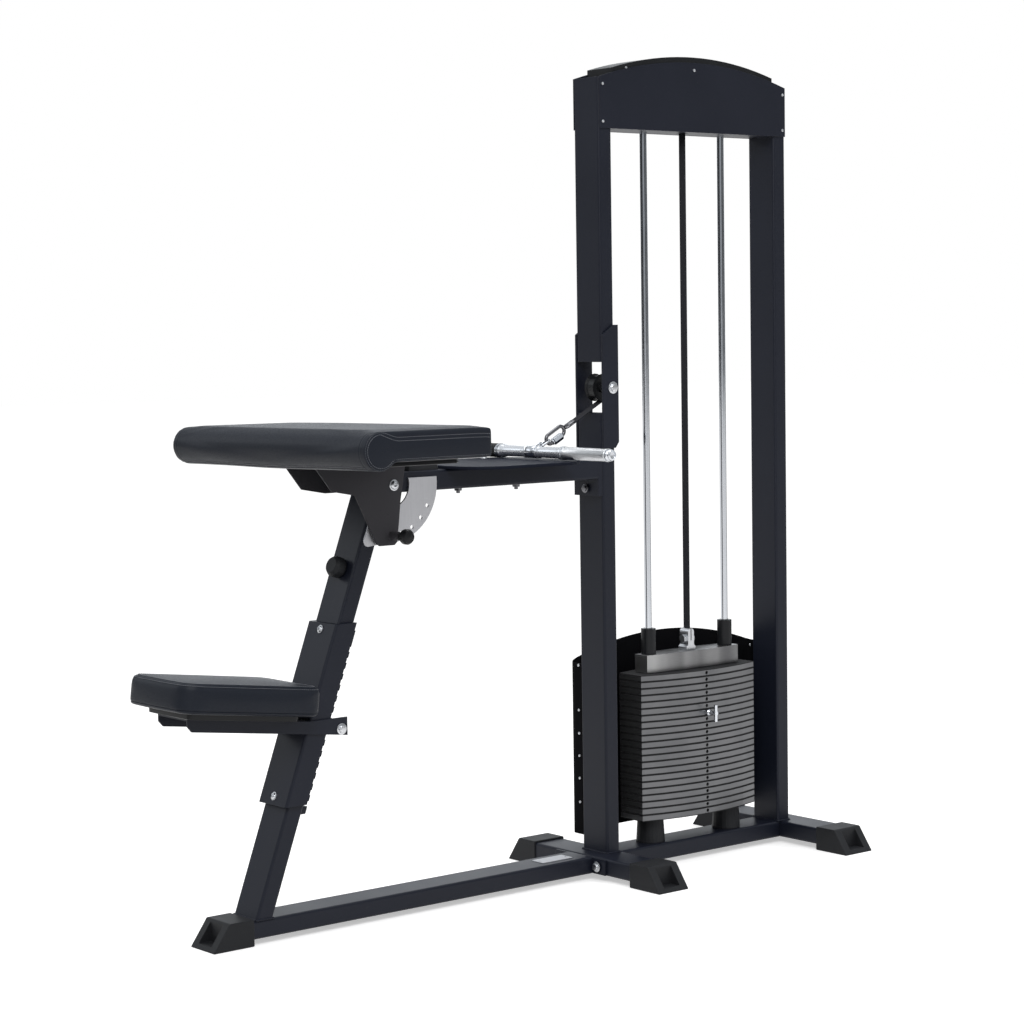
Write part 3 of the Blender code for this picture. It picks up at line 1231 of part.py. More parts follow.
def quadrant():
    """The locking plate on the beam and the post, with a hole for each tilt of the pad."""
    inner = HALF_TUBE + GAP
    pivot = (PIVOT_X, PIVOT_Z)
    outer_start = math.degrees(math.asin(QUADRANT_RISE / QUADRANT_RADIUS))
    inner_start = math.degrees(math.asin(QUADRANT_RISE / QUADRANT_BORE))
    outline = arc(pivot, QUADRANT_RADIUS, outer_start, -92, 20)
    low = PIVOT_Z - QUADRANT_RADIUS - 0.006
    edge = 0.006
    corner = 0.012
    left_low = post_front(low) + edge
    outline += arc((left_low + corner + 0.004, low + corner), corner, 270, 160, 4)
    outline.append((post_front(PIVOT_Z - 0.060) + edge, PIVOT_Z - 0.060))
    outline += arc(pivot, QUADRANT_BORE, -110, inner_start, 12)
    holes = []
    for number in range(PAD_STEPS + 1):
        angle = math.radians(PIN_ANGLE + number * PAD_STEP)
        centre = (PIVOT_X + PIN_CIRCLE * math.cos(angle), PIVOT_Z + PIN_CIRCLE * math.sin(angle))
        holes.append(arc(centre, LOCK_PIN_RADIUS + GAP, 0, 330, 11))
    place(prism([outline, *holes], -inner - QUADRANT_THICKNESS, -inner), "quadrant", "steel", MACHINE)


def arm_group():
    """The arm pad with its bracket, pivot bolt and lock pin."""
    tilt = empty("pad_tilt", (MACHINE_X + PIVOT_X, 0, PIVOT_Z), MACHINE)
    bracket(tilt)
    arm_pad(tilt)
    outer = BRACKET_WIDTH / 2 + GAP
    profile = [(0, outer + 0.008), (0.007, outer + 0.007), (0.011, outer + 0.003), (0.011, outer),
               (PIVOT_RADIUS, outer)]
    profile += [(radius, -y) for radius, y in reversed(profile)]
    place_round(turned(profile, (PIVOT_X, 0, PIVOT_Z), "Y", 16), "pivot_bolt", "steel", tilt)
    lock_pin(tilt)


def lock_centre():
    angle = math.radians(PIN_ANGLE)
    return (PIVOT_X + PIN_CIRCLE * math.cos(angle), PIVOT_Z + PIN_CIRCLE * math.sin(angle))


def bracket(tilt):
    """The folded bracket under the pad: a web and two sides, of which the near one holds the lock."""
    lock_x, lock_z = lock_centre()
    foot = lock_z - 0.024
    outline = [(SLAB_END_X + 0.003, BRACKET_TOP), (BRACKET_FRONT_X, BRACKET_TOP),
               (BRACKET_FRONT_X + 0.064, PIVOT_Z - 0.007), (PIVOT_X - 0.119, PIVOT_Z - 0.020),
               (lock_x - 0.050, foot + 0.008), (lock_x - 0.040, foot), (lock_x + 0.006, foot),
               (lock_x + 0.015, foot + 0.008), (PIVOT_X + 0.020, PIVOT_Z - 0.040),
               (PIVOT_X + 0.030, PIVOT_Z + 0.011)]
    outline.reverse()
    half = BRACKET_WIDTH / 2
    part = place(prism([outline], -half, half), "pad_bracket", "frame", tilt)
    inner = half - BRACKET_SHEET
    hollow = [(BRACKET_FRONT_X - 0.05, foot - 0.05), (SLAB_END_X + 0.05, foot - 0.05),
              (SLAB_END_X + 0.05, BRACKET_TOP - BRACKET_SHEET),
              (BRACKET_FRONT_X - 0.05, BRACKET_TOP - BRACKET_SHEET)]
    below = [(BRACKET_FRONT_X - 0.05, foot - 0.05), (SLAB_END_X + 0.05, foot - 0.05),
             (SLAB_END_X + 0.05, PIVOT_Z - 0.020), (PIVOT_X - 0.119, PIVOT_Z - 0.020),
             (BRACKET_FRONT_X - 0.05, PIVOT_Z - 0.020)]
    cut(part, [prism([hollow], -inner, inner), prism([below], 0, half + 0.05),
               cylinder(PIVOT_RADIUS + GAP, -0.1, 0.1, (PIVOT_X, 0, PIVOT_Z), "Y", 16)])
    join(part, [cylinder(LOCK_COLLAR_RADIUS, -half - LOCK_COLLAR_LENGTH, -half + 0.001,
                         (lock_x, 0, lock_z), "Y", 16)])
    bore = cylinder(LOCK_PIN_RADIUS + GAP, -half - 0.05, -inner + 0.01, (lock_x, 0, lock_z), "Y", 12)
    modifier_bore = bpy.data.objects.new("pad_bracket_bore", bore)
    CUTTERS.objects.link(modifier_bore)
    modifier_bore.location = world_of(MACHINE)
    modifier_bore.hide_render = True
    modifier_bore.display_type = "WIRE"
    modifier = part.modifiers.new("bore", "BOOLEAN")
    modifier.operation = "DIFFERENCE"
    modifier.object = modifier_bore


def lock_pin(tilt):
    """The sprung pin with its knob, which holds the pad at one of the quadrant's holes."""
    x, z = lock_centre()
    slide = empty("lock_slide", (MACHINE_X + x, 0, z), tilt)
    tip = -HALF_TUBE - QUADRANT_THICKNESS - 2 * GAP
    collar = -BRACKET_WIDTH / 2 - LOCK_COLLAR_LENGTH - LOCK_DEPTH - GAP
    knob = LOCK_KNOB_RADIUS
    profile = [(0, tip), (LOCK_PIN_RADIUS - 0.001, tip), (LOCK_PIN_RADIUS, tip - 0.002),
               (LOCK_PIN_RADIUS, collar), (0.011, collar), (0.009, collar - 0.006),
               (knob * 0.86, collar - 0.009), (knob, collar - 0.014),
               (knob, collar - LOCK_KNOB_LENGTH * 0.75), (knob * 0.8, collar - LOCK_KNOB_LENGTH * 0.95),
               (0, collar - LOCK_KNOB_LENGTH)]
    place_round(turned(profile, (x, 0, z), "Y", 20), "lock_pin", "rubber", slide)


def pad_profile():
    """The arm pad from the side: a round front roll that runs into a flat slab."""
    roll = (ROLL_X, ROLL_Z)
    drop = SLAB_BOTTOM - ROLL_Z
    start = math.degrees(math.asin(drop / ROLL_RADIUS))
    top = ROLL_Z + ROLL_RADIUS
    fall = math.degrees(math.atan2(top - SLAB_END_TOP, SLAB_END_X - ROLL_X))
    corner = SLAB_CORNER
    outline = arc((SLAB_END_X - corner, SLAB_BOTTOM + corner), corner, 270, 360, 3)
    outline += arc((SLAB_END_X - corner, SLAB_END_TOP - corner), corner, 0, 90 - fall, 3)
    outline += [(SLAB_END_X - 0.11, top - (top - SLAB_END_TOP) * 0.66),
                (SLAB_END_X - 0.22, top - (top - SLAB_END_TOP) * 0.32)]
    outline += arc(roll, ROLL_RADIUS, 90 - fall, 360 + start, 16)
    outline.append(((ROLL_X + SLAB_END_X) / 2, SLAB_BOTTOM))
    return outline


def arm_pad(tilt):
    """The arm cushion: drawn in at its ends behind a seam, with a slight crown between."""
    outline = pad_profile()
    half = PAD_WIDTH / 2
    edge = PAD_EDGE
    seam = SEAM_DEPTH
    stations = [(half, edge + 0.004), (half - seam, edge + 0.002), (half - 0.0003, edge),
                (half - edge * 0.25, edge * 0.3), (half - edge, 0.0), (half - PAD_SEAM + 0.002, 0.0),
                (half - PAD_SEAM, seam), (half - PAD_SEAM - 0.002, 0.0),
                (half - 0.080, -PAD_CROWN * 0.5), (0.0, -PAD_CROWN)]
    mirrored = [(-y, distance) for y, distance in reversed(stations[:-1])]
    rings = []
    for y, distance in stations + mirrored:
        ring = []
        for (x, z), (plain_x, plain_z) in zip(inset(outline, distance), outline):
            flat = z < SLAB_BOTTOM + 0.001 or plain_z <= SLAB_BOTTOM + 1e-6
            ring.append((x, y, max(z, SLAB_BOTTOM) if flat and plain_x > ROLL_X + ROLL_RADIUS * 0.8 else z))
        rings.append(ring)
    soften(place(loft(rings), "arm_pad", "cover", tilt), 50)


def main():
    floor_frame()
    tower()
    header()
    shroud()
    stack()
    straps()
    bar_group()
    post()
    seat()
    upper_beam()
    quadrant()
    arm_group()


main()
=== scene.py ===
# %% [markdown]
# A biceps and triceps machine, dressed for a studio picture.
# The solid parts come from a packed CAD model, and this lesson adds what makes them look real:
# upholstery, fasteners, welds, links, a knurled bar and a finish for each surface.
# Lengths are in metres, X runs from the seat to the weight stack, and the floor is Z = 0.

# %% Load the frame
import math

import bmesh
import bpy
from mathutils import Matrix, Vector
from mathutils.bvhtree import BVHTree
from mathutils.kdtree import KDTree


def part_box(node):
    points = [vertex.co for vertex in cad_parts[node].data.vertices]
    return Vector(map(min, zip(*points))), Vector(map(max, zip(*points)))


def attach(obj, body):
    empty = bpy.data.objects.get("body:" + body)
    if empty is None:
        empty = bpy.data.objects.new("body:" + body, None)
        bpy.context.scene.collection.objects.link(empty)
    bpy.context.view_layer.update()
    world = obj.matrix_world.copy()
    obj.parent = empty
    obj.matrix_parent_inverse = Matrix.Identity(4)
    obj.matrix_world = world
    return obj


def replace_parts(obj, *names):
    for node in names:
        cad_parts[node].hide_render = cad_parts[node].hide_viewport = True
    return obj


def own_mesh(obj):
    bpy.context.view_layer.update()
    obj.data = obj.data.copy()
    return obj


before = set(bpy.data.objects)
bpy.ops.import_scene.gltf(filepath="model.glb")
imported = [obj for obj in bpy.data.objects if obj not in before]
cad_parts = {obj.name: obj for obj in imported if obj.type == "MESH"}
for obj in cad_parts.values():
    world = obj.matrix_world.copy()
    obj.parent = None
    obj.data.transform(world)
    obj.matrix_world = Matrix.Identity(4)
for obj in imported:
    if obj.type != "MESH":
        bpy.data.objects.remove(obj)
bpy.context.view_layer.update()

# %% [markdown]
# The machine was measured from the outer face of its front upright, so a place is easiest to
# write from there. One function turns such a place into the model's frame. It saves a shift that
# would otherwise hide in every number, and a fastener can be read next to its tube's own size.

# %% Places on the machine
MACHINE_X = 0.3148


def at(x, y, z):
    """A place measured from the front upright's outer face, in the model's frame."""
    return Vector((x + MACHINE_X, y, z))


POST_LEAN = math.radians(20.35)
POST_FLOOR_X = -1.1627
POST_OUT = Vector((-math.cos(POST_LEAN), 0, math.sin(POST_LEAN)))


def on_post(z, proud=0.0, y=0.0):
    """A place on the leaning post's front face, or proud of it."""
    return at(POST_FLOOR_X + math.tan(POST_LEAN) * z, y, z) + POST_OUT * proud


print("post's front face at the seat:", [round(v, 3) for v in on_post(0.551)])

# %% [markdown]
# The camera stands where the photographer stood: in front of the seat's corner, at chest height.
# A long lens keeps the two uprights almost parallel. Its direction is written as the three angles
# that were fitted to the picture, because a target point would hide the slight roll.

# %% Camera
LOOK_ANGLES = 39.3043, 4.2356, -0.8504
LENS, CAMERA_PLACE = 89.17, at(-4.4924, -5.1482, 1.4977)

look_side, look_down, roll = (math.radians(angle) for angle in LOOK_ANGLES)
look = Vector((math.sin(look_side) * math.cos(look_down), math.cos(look_side) * math.cos(look_down),
               -math.sin(look_down)))
level = Vector((math.cos(look_side), -math.sin(look_side), 0))
above = level.cross(look)
right = level * math.cos(roll) + above * math.sin(roll)
up = above * math.cos(roll) - level * math.sin(roll)

camera_data = bpy.data.cameras.new("camera")
camera_data.lens = LENS
camera_data.sensor_width = 36
camera = bpy.data.objects.new("camera", camera_data)
bpy.context.scene.collection.objects.link(camera)
turn = Matrix((right, up, -look)).transposed().to_4x4()
camera.matrix_world = Matrix.Translation(CAMERA_PLACE) @ turn
bpy.context.scene.camera = camera
print("camera at", [round(v, 3) for v in camera.location])

# %% [markdown]
# Materials here are written as sums. A small class wraps a node's output socket, and the usual
# operators add the Math nodes, so a mask can be written as 1 - noise * 2. Every other node comes
# from one method, which sets its type and settings first and fills its sockets after.

# %% A socket that can be used in sums
def sum_of(operation):
    """The two methods of an operator: self first, and the reflected form with self last."""
    return (lambda self, other: self.maths(operation, self, other),
            lambda self, other: self.maths(operation, other, self))


class Socket:
    """A node's output that takes part in Python expressions on single values."""

    def __init__(self, shader, output):
        self.shader = shader
        self.output = output

    def maths(self, operation, *values):
        return self.shader.node("ShaderNodeMath", {"operation": operation}, dict(enumerate(values)))

    def beside(self, name):
        """Another output of the same node."""
        return Socket(self.shader, self.output.node.outputs[name])

    __add__, __radd__ = sum_of("ADD")
    __sub__, __rsub__ = sum_of("SUBTRACT")
    __mul__, __rmul__ = sum_of("MULTIPLY")
    __truediv__, __rtruediv__ = sum_of("DIVIDE")
    __mod__, __rmod__ = sum_of("FLOORED_MODULO")

    def __abs__(self):
        return self.maths("ABSOLUTE", self)

    def sine(self):
        return self.maths("SINE", self)

    def most(self, other):
        return self.maths("MAXIMUM", self, other)

    def least(self, other):
        return self.maths("MINIMUM", self, other)


print("a socket has", len([name for name in vars(Socket) if name.startswith("__r")]), "reflected forms")

# %% A tree of nodes
class Shader:
    """The nodes of a material or of the world."""

    def __init__(self, owner):
        self.owner = owner
        owner.use_nodes = True
        self.tree = owner.node_tree
        self.surface = self.tree.nodes.get("Principled BSDF")

    def node(self, kind, settings=None, sockets=None, output=0):
        """Adds a node of any type. Its settings come first, then its sockets' values or links."""
        made = self.tree.nodes.new(kind)
        for name, value in (settings or {}).items():
            if name == "stops":
                self.set_stops(made.color_ramp, value)
            else:
                setattr(made, name, value)
        self.fill(made, sockets or {})
        return Socket(self, made.outputs[output])

    def fill(self, made, sockets):
        for name, value in sockets.items():
            entry = made.inputs[name]
            if isinstance(value, Socket):
                self.tree.links.new(value.output, entry)
            elif entry.type == "RGBA" and len(value) == 3:
                entry.default_value = (*value, 1)
            else:
                entry.default_value = value

    def set_stops(self, ramp, stops):
        while len(ramp.elements) < len(stops):
            ramp.elements.new(1)
        for element, (position, colour) in zip(ramp.elements, stops):
            element.position = position
            element.color = (*colour, 1) if isinstance(colour, tuple) else (colour, colour, colour, 1)

    def mix(self, factor, first, second):
        """A colour between two colours."""
        return self.node("ShaderNodeMix", {"data_type": "RGBA"}, {0: factor, 6: first, 7: second}, 2)

    def smooth(self, value, low, high, start=0.0, end=1.0):
        """A soft step of a value from one number to another."""
        return self.node("ShaderNodeMapRange", {"interpolation_type": "SMOOTHSTEP"},
                         {0: value, 1: low, 2: high, 3: start, 4: end})

    def finish(self, **sockets):
        """Fills the surface's own sockets: Base_Color=..., Roughness=..., and so on."""
        self.fill(self.surface, {name.replace("_", " "): value for name, value in sockets.items()})
        return self.owner


print("a node of any type comes from Shader.node")

# %% [markdown]
# Two things are wanted again and again: where a point lies on its own object, and noise there.
# Object coordinates are used, because they ride along when the seat or the pad moves. A stretch
# per axis turns plain noise into brushing or into the grain of a strap.

# %% Coordinates and noise
def new_shader(name):
    return Shader(bpy.data.materials.new(name))


def place_of(shader, stretch=(1, 1, 1)):
    """The object coordinates, stretched along each axis."""
    place = shader.node("ShaderNodeTexCoord", output="Object")
    if stretch == (1, 1, 1):
        return place
    return shader.node("ShaderNodeVectorMath", {"operation": "MULTIPLY"}, {0: place, 1: stretch})


def noise(shader, place, scale, detail=2.0):
    return shader.node("ShaderNodeTexNoise", None, {"Vector": place, "Scale": scale, "Detail": detail})


def axes(shader, place):
    """The three coordinates as separate values."""
    split = shader.node("ShaderNodeSeparateXYZ", None, {0: place})
    return [split.beside(axis) for axis in "XYZ"]


def bump(shader, height, depth, round_edges=0.0):
    """A normal that follows a height, on edges that are rounded by a small radius."""
    sockets = {"Height": height, "Distance": depth}
    if round_edges:
        sockets["Normal"] = shader.node("ShaderNodeBevel", {"samples": 4}, {"Radius": round_edges})
    return shader.node("ShaderNodeBump", None, sockets)


print("noise and bump helpers are ready")

# %% [markdown]
# The frame is steel tube with a satin black powder coat. Powder melts into a skin like fine
# orange peel, with a faint blue tint and small changes in gloss. The bump is only a few
# hundredths of a millimetre deep, and the edges are rounded in the shading, since a coat is
# thickest there and each corner of the real tube shows a thin line of light. The bar's tray wears
# a more matt batch of the same powder, and the arm pad's bracket a dull grey black.

# %% Powder coat
def powder_coat(name, dark, light, rough, shine=0.26):
    shader = new_shader(name)
    shader.surface.inputs["Specular IOR Level"].default_value = shine
    place = place_of(shader)
    cloud = noise(shader, place, 5, 4)
    peel = noise(shader, place, 520, 2)
    fleck = shader.smooth(noise(shader, place, 90, 3), 0.62, 0.80)
    colour = shader.mix(cloud, dark, light)
    colour = shader.mix(fleck * 0.35, colour, (0.024, 0.026, 0.032))
    return shader.finish(Base_Color=colour, Roughness=rough + cloud * 0.12 + peel * 0.05,
                         Normal=bump(shader, peel, 0.00008, 0.0020))


COAT = (0.0085, 0.0105, 0.0190), (0.0125, 0.0150, 0.0260)
FRAME = powder_coat("satin_black_powder_coat", *COAT, 0.34)
TRAY_COAT = powder_coat("matt_black_powder_coat", *COAT, 0.45, 0.08)
DULL_COAT = powder_coat("dull_grey_coat", (0.060, 0.058, 0.065), (0.080, 0.078, 0.086), 0.55)
print("made", [coat.name for coat in (FRAME, TRAY_COAT, DULL_COAT)])

# %% [markdown]
# Feet, bumpers and the pad's stop are black rubber, duller than the coat and slightly grey where
# dust sits. Pulleys, bushings, the knob and the header's cover are a smoother moulding. The sheet
# behind the stack is so matt that it hardly shines, so it has the lowest specular level.

# %% Rubber and moulded plastic
def moulding(name, dark, light, rough, grain, depth, shine=0.26):
    shader = new_shader(name)
    shader.surface.inputs["Specular IOR Level"].default_value = shine
    place = place_of(shader)
    cloud = noise(shader, place, 14, 4)
    pores = noise(shader, place, grain, 3)
    colour = shader.mix(cloud, dark, light)
    return shader.finish(Base_Color=colour, Roughness=rough + cloud * 0.14,
                         Normal=bump(shader, pores, depth, 0.0018))


RUBBER = moulding("black_rubber", (0.011, 0.012, 0.014), (0.021, 0.022, 0.025), 0.48, 380, 0.00012)
PLASTIC = moulding("black_moulding", (0.008, 0.0085, 0.010), (0.013, 0.014, 0.016), 0.30, 240, 0.00005)
MATT_SHEET = moulding("matt_black_sheet", (0.004, 0.004, 0.005), (0.007, 0.007, 0.008), 0.65, 300,
                      0.00008, 0.04)
print("made", RUBBER.name, PLASTIC.name, "and", MATT_SHEET.name)

# %% [markdown]
# The cushions wear a dark grey leatherette. Its pebble grain is small cells with soft valleys,
# over longer shallow creases. Cells from a Voronoi texture give the pebbles, and a stretched
# noise the creases. Valleys are less shiny than the tops, and a little darker as painted shade.

# %% Leatherette
def leatherette():
    shader = new_shader("grey_leatherette")
    shader.surface.inputs["Specular IOR Level"].default_value = 0.20
    place = place_of(shader)
    cell = {"feature": "SMOOTH_F1"}
    pebble = shader.node("ShaderNodeTexVoronoi", cell, {"Vector": place, "Scale": 560, "Smoothness": 0.6})
    crease = noise(shader, place, 70, 5)
    cloud = noise(shader, place, 7, 3)
    valley = shader.smooth(pebble, 0.25, 0.75)
    colour = shader.mix(cloud, (0.0115, 0.0145, 0.0225), (0.0165, 0.0205, 0.0300))
    # Painted shade: the valleys of the grain are darkened, as shade would fall in them.
    colour = shader.mix(valley * 0.5, colour, (0.0085, 0.0105, 0.0165))
    height = (1 - pebble) * 0.7 + crease * 0.5
    return shader.finish(Base_Color=colour, Roughness=0.36 + valley * 0.16 + cloud * 0.06,
                         Normal=bump(shader, height, 0.00022))


LEATHERETTE = leatherette()
print("made", LEATHERETTE.name)

# %% [markdown]
# Bright metal comes in several states here. The guide rods are polished chrome and the bar is a
# satin one, screws are zinc plated, the quick link is dark steel and the quadrant plain rolled
# steel. They differ in how rough they are and in which way their fine lines run, so one function
# makes them all. The brushed head plate has broad bands too, and a lighter end toward the seat,
# both painted reflection of a bright room, and is made on its own.

# %% Bright metals
def metal(name, dark, light, rough, spread, stretch, scale, depth, metallic=1.0, round_edges=0.0):
    shader = new_shader(name)
    lines = noise(shader, place_of(shader, stretch), scale, 4)
    cloud = noise(shader, place_of(shader), 22, 4)
    colour = shader.mix(lines * 0.6 + cloud * 0.4, dark, light)
    shader.surface.inputs["Metallic"].default_value = metallic
    return shader.finish(Base_Color=colour, Roughness=rough + spread * cloud + spread * lines,
                         Normal=bump(shader, lines, depth, round_edges))


CHROME = metal("polished_chrome", (0.56, 0.58, 0.62), (0.70, 0.72, 0.75), 0.06, 0.06,
               (1, 1, 0.02), 300, 0.00001)
ZINC = metal("zinc_plated_steel", (0.50, 0.51, 0.53), (0.74, 0.75, 0.77), 0.18, 0.12,
             (1, 1, 1), 400, 0.00004, round_edges=0.0006)
ROLLED = metal("rolled_steel", (0.46, 0.46, 0.48), (0.62, 0.62, 0.64), 0.34, 0.12,
               (1, 1, 0.08), 260, 0.00003, 0.95, 0.0008)
SATIN_CHROME = metal("satin_chrome", (0.70, 0.72, 0.76), (0.84, 0.86, 0.89), 0.17, 0.10,
                     (1, 0.05, 1), 300, 0.00001, 0.82)
DARK_STEEL = metal("dark_steel", (0.10, 0.10, 0.11), (0.24, 0.24, 0.25), 0.20, 0.10,
                   (1, 1, 1), 300, 0.00003)
# Where the head plate's painted reflection fades from light to dark along X.
HEAD_BRIGHT_X, HEAD_DARK_X = 0.50, 0.66


def brushed():
    """Brushed steel with painted reflection: broad bands run up the plate and its end toward the seat is
    lighter, as in the mirror of a bright room.
    """
    shader = new_shader("brushed_steel_painted_reflection")
    lines = noise(shader, place_of(shader, (0.05, 0.05, 1)), 900, 3)
    # Painted reflection: broad bands up the plate, and a lighter end toward the seat.
    bands = shader.smooth(noise(shader, place_of(shader, (1, 0.2, 0.02)), 18, 1), 0.36, 0.64)
    x = axes(shader, place_of(shader))[0]
    painted_reflection_end = shader.smooth(x, HEAD_BRIGHT_X, HEAD_DARK_X, 1, 0)
    share = bands * 0.30 + painted_reflection_end * 0.50 + lines * 0.20
    colour = shader.mix(share, (0.10, 0.10, 0.105), (0.46, 0.46, 0.46))
    shader.surface.inputs["Metallic"].default_value = 0.95
    return shader.finish(Base_Color=colour, Roughness=0.26 + lines * 0.14,
                         Normal=bump(shader, lines, 0.00003, 0.0008))


BRUSHED_WITH_PAINTED_REFLECTION = brushed()
print("made", [m.name for m in (CHROME, ZINC, ROLLED, SATIN_CHROME, DARK_STEEL, BRUSHED_WITH_PAINTED_REFLECTION)])

# %% [markdown]
# The weight plates are ground steel. Their faces shine grey, and a dark line runs between two
# plates: partly the paint of their flat sides, which wraps over each edge, and partly painted
# shade of the gap between them. The line is found from height: the remainder of Z over the plate
# pitch tells where on its own plate a point lies, and a plate's middle is a little below half of
# the pitch, because the gap to the next one lies above it.

# %% Weight plates
STACK_BOTTOM, PLATE_PITCH, PLATE_MIDDLE = 0.130, 0.0184, 0.4675


def plate_finish():
    shader = new_shader("ground_weight_plate")
    place = place_of(shader)
    z = axes(shader, place)[2]
    share = ((z - STACK_BOTTOM) / PLATE_PITCH) % 1.0
    # The dark line between plates: partly their painted edges, partly painted shade of the gap.
    dark_edge_and_gap_shade = shader.smooth(abs(share - PLATE_MIDDLE), 0.335, 0.370)
    milling = noise(shader, place_of(shader, (0.06, 0.06, 1)), 1100, 3)
    cloud = noise(shader, place, 9, 4)
    colour = shader.mix(cloud * 0.6 + milling * 0.4, (0.100, 0.104, 0.112), (0.26, 0.26, 0.265))
    colour = shader.mix(dark_edge_and_gap_shade, colour, (0.006, 0.006, 0.007))
    return shader.finish(Base_Color=colour, Metallic=0.85 - dark_edge_and_gap_shade * 0.85,
                         Roughness=0.30 + milling * 0.14 + dark_edge_and_gap_shade * 0.35,
                         Normal=bump(shader, milling, 0.00003, 0.0016))


PLATE = plate_finish()
print("made", PLATE.name)

# %% [markdown]
# The strap is a woven belt. Two sets of threads cross at a slant, so the pattern is the larger
# of two waves, and it is so fine that it only softens the light. Knurling on the bar's grips is
# the same idea in metal, cut deeper: two waves that wind around the grip in opposite directions.
# In both, the low parts of the pattern are painted darker, as shade.

# %% Strap and knurling
THREADS_ALONG, THREADS_ACROSS, KNURLS_AROUND, KNURLS_ALONG = 2600, 3400, 22, 1100


def webbing():
    shader = new_shader("black_strap")
    x, y, z = axes(shader, place_of(shader))
    along, over = (x + z) * THREADS_ALONG, y * THREADS_ACROSS
    first = (along + over).sine()
    second = (along - over).sine()
    weave = first.most(second) * 0.5 + 0.5
    cloud = noise(shader, place_of(shader), 30, 3)
    # Painted shade: the dips between the threads are darker than the crests.
    colour = shader.mix(weave, (0.022, 0.022, 0.026), (0.046, 0.047, 0.053))
    shader.surface.inputs["Specular IOR Level"].default_value = 0.0
    return shader.finish(Base_Color=colour, Roughness=0.60 + cloud * 0.2,
                         Normal=bump(shader, weave, 0.0001))


def knurling():
    shader = new_shader("knurled_steel")
    x, y, z = axes(shader, place_of(shader))
    around, along = x.maths("ARCTAN2", x, z) * KNURLS_AROUND, y * KNURLS_ALONG
    diamond = abs((around + along).sine()).least(abs((around - along).sine()))
    cloud = noise(shader, place_of(shader), 60, 3)
    # Painted shade: the grooves between the diamonds are darker than their tops.
    colour = shader.mix(diamond, (0.52, 0.53, 0.55), (0.92, 0.93, 0.94))
    shader.surface.inputs["Metallic"].default_value = 1.0
    return shader.finish(Base_Color=colour, Roughness=0.26 + cloud * 0.12,
                         Normal=bump(shader, diamond, 0.0006))


STRAP = webbing()
KNURL = knurling()
print("made", STRAP.name, "and", KNURL.name)

# %% [markdown]
# Every solid of the CAD model keeps its shape and gets one of these finishes. The list is by
# finish, because that is how a paint shop would sort the parts.

# %% Finishes for the CAD parts
FINISHES = {
    FRAME: ["bench_beam", "beam_end_plate", "cheek_left", "cheek_right", "foot_beam_front",
            "foot_beam_rear", "header_plate_left", "header_plate_right", "joint_plate", "post",
            "post_sleeve", "rod_plate", "seat_carriage", "seat_rack", "tower_beam", "upper_beam",
            "upright_front_lower", "upright_front_upper", "upright_rear"],
    TRAY_COAT: ["bar_tray"],
    DULL_COAT: ["pad_bracket"],
    MATT_SHEET: ["shroud"],
    RUBBER: ["foot_bench", "foot_front_left", "foot_front_right", "foot_rear_left", "foot_rear_right",
             "bumper_front", "bumper_rear", "pad_stop"],
    PLASTIC: ["header_cover", "bushing_front", "bushing_rear", "lock_pin", "pulley_front", "pulley_mid",
              "pulley_rear"],
    CHROME: ["guide_rod_front", "guide_rod_rear", "bar", "snap_hook", "bar_link", "bar_hanger",
             "selector_pin"],
    ZINC: ["mid_axle", "pivot_bolt", "seat_roller", "strap_clamp", "selector_stem"],
    ROLLED: ["quadrant"],
    BRUSHED_WITH_PAINTED_REFLECTION: ["head_plate"],
    PLATE: ["plates_lifted", "plates_resting"],
    STRAP: ["strap_lift", "strap_tail", "strap_upper"],
    KNURL: ["bar_grip_left", "bar_grip_right"],
    LEATHERETTE: ["seat_pad", "arm_pad"],
}
finished = set()
for material, names in FINISHES.items():
    for name in names:
        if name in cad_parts:
            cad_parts[name].data.materials.clear()
            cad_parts[name].data.materials.append(material)
            finished.add(name)
print("finished", len(finished), "of", len(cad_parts), "nodes, missing",
      sorted(set(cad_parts) - finished))

# %% [markdown]
# A machine this dark and this shiny is drawn by what it mirrors. The camera sees plain white
# behind it. Mirrored rays see a studio instead: a bright low band straight behind, a smaller one on
# the photographer's side, soft boxes to the right and the left, and a room that grows lighter
# upward. Light on matt surfaces is even and from all round. Each box is a direction, how close to
# it a ray has to be, how high it reaches, and its strength. The direction of a ray comes from the
# world's own Generated coordinates, so it stays in place when the view moves.

# %% World
RIGHT, LEFT_BACK, BACK, FRONT = (0.80, -0.60), (-0.52, 0.85), (look.x, look.y), (-look.x, -look.y)
SOFT_BOXES = ((RIGHT, (0.55, 0.90), (0.75, 0.45), 0.08), (FRONT, (0.80, 0.97), (0.80, 0.50), 0.30),
              (BACK, (0.86, 0.97), (0.40, 0.15), 1.80))


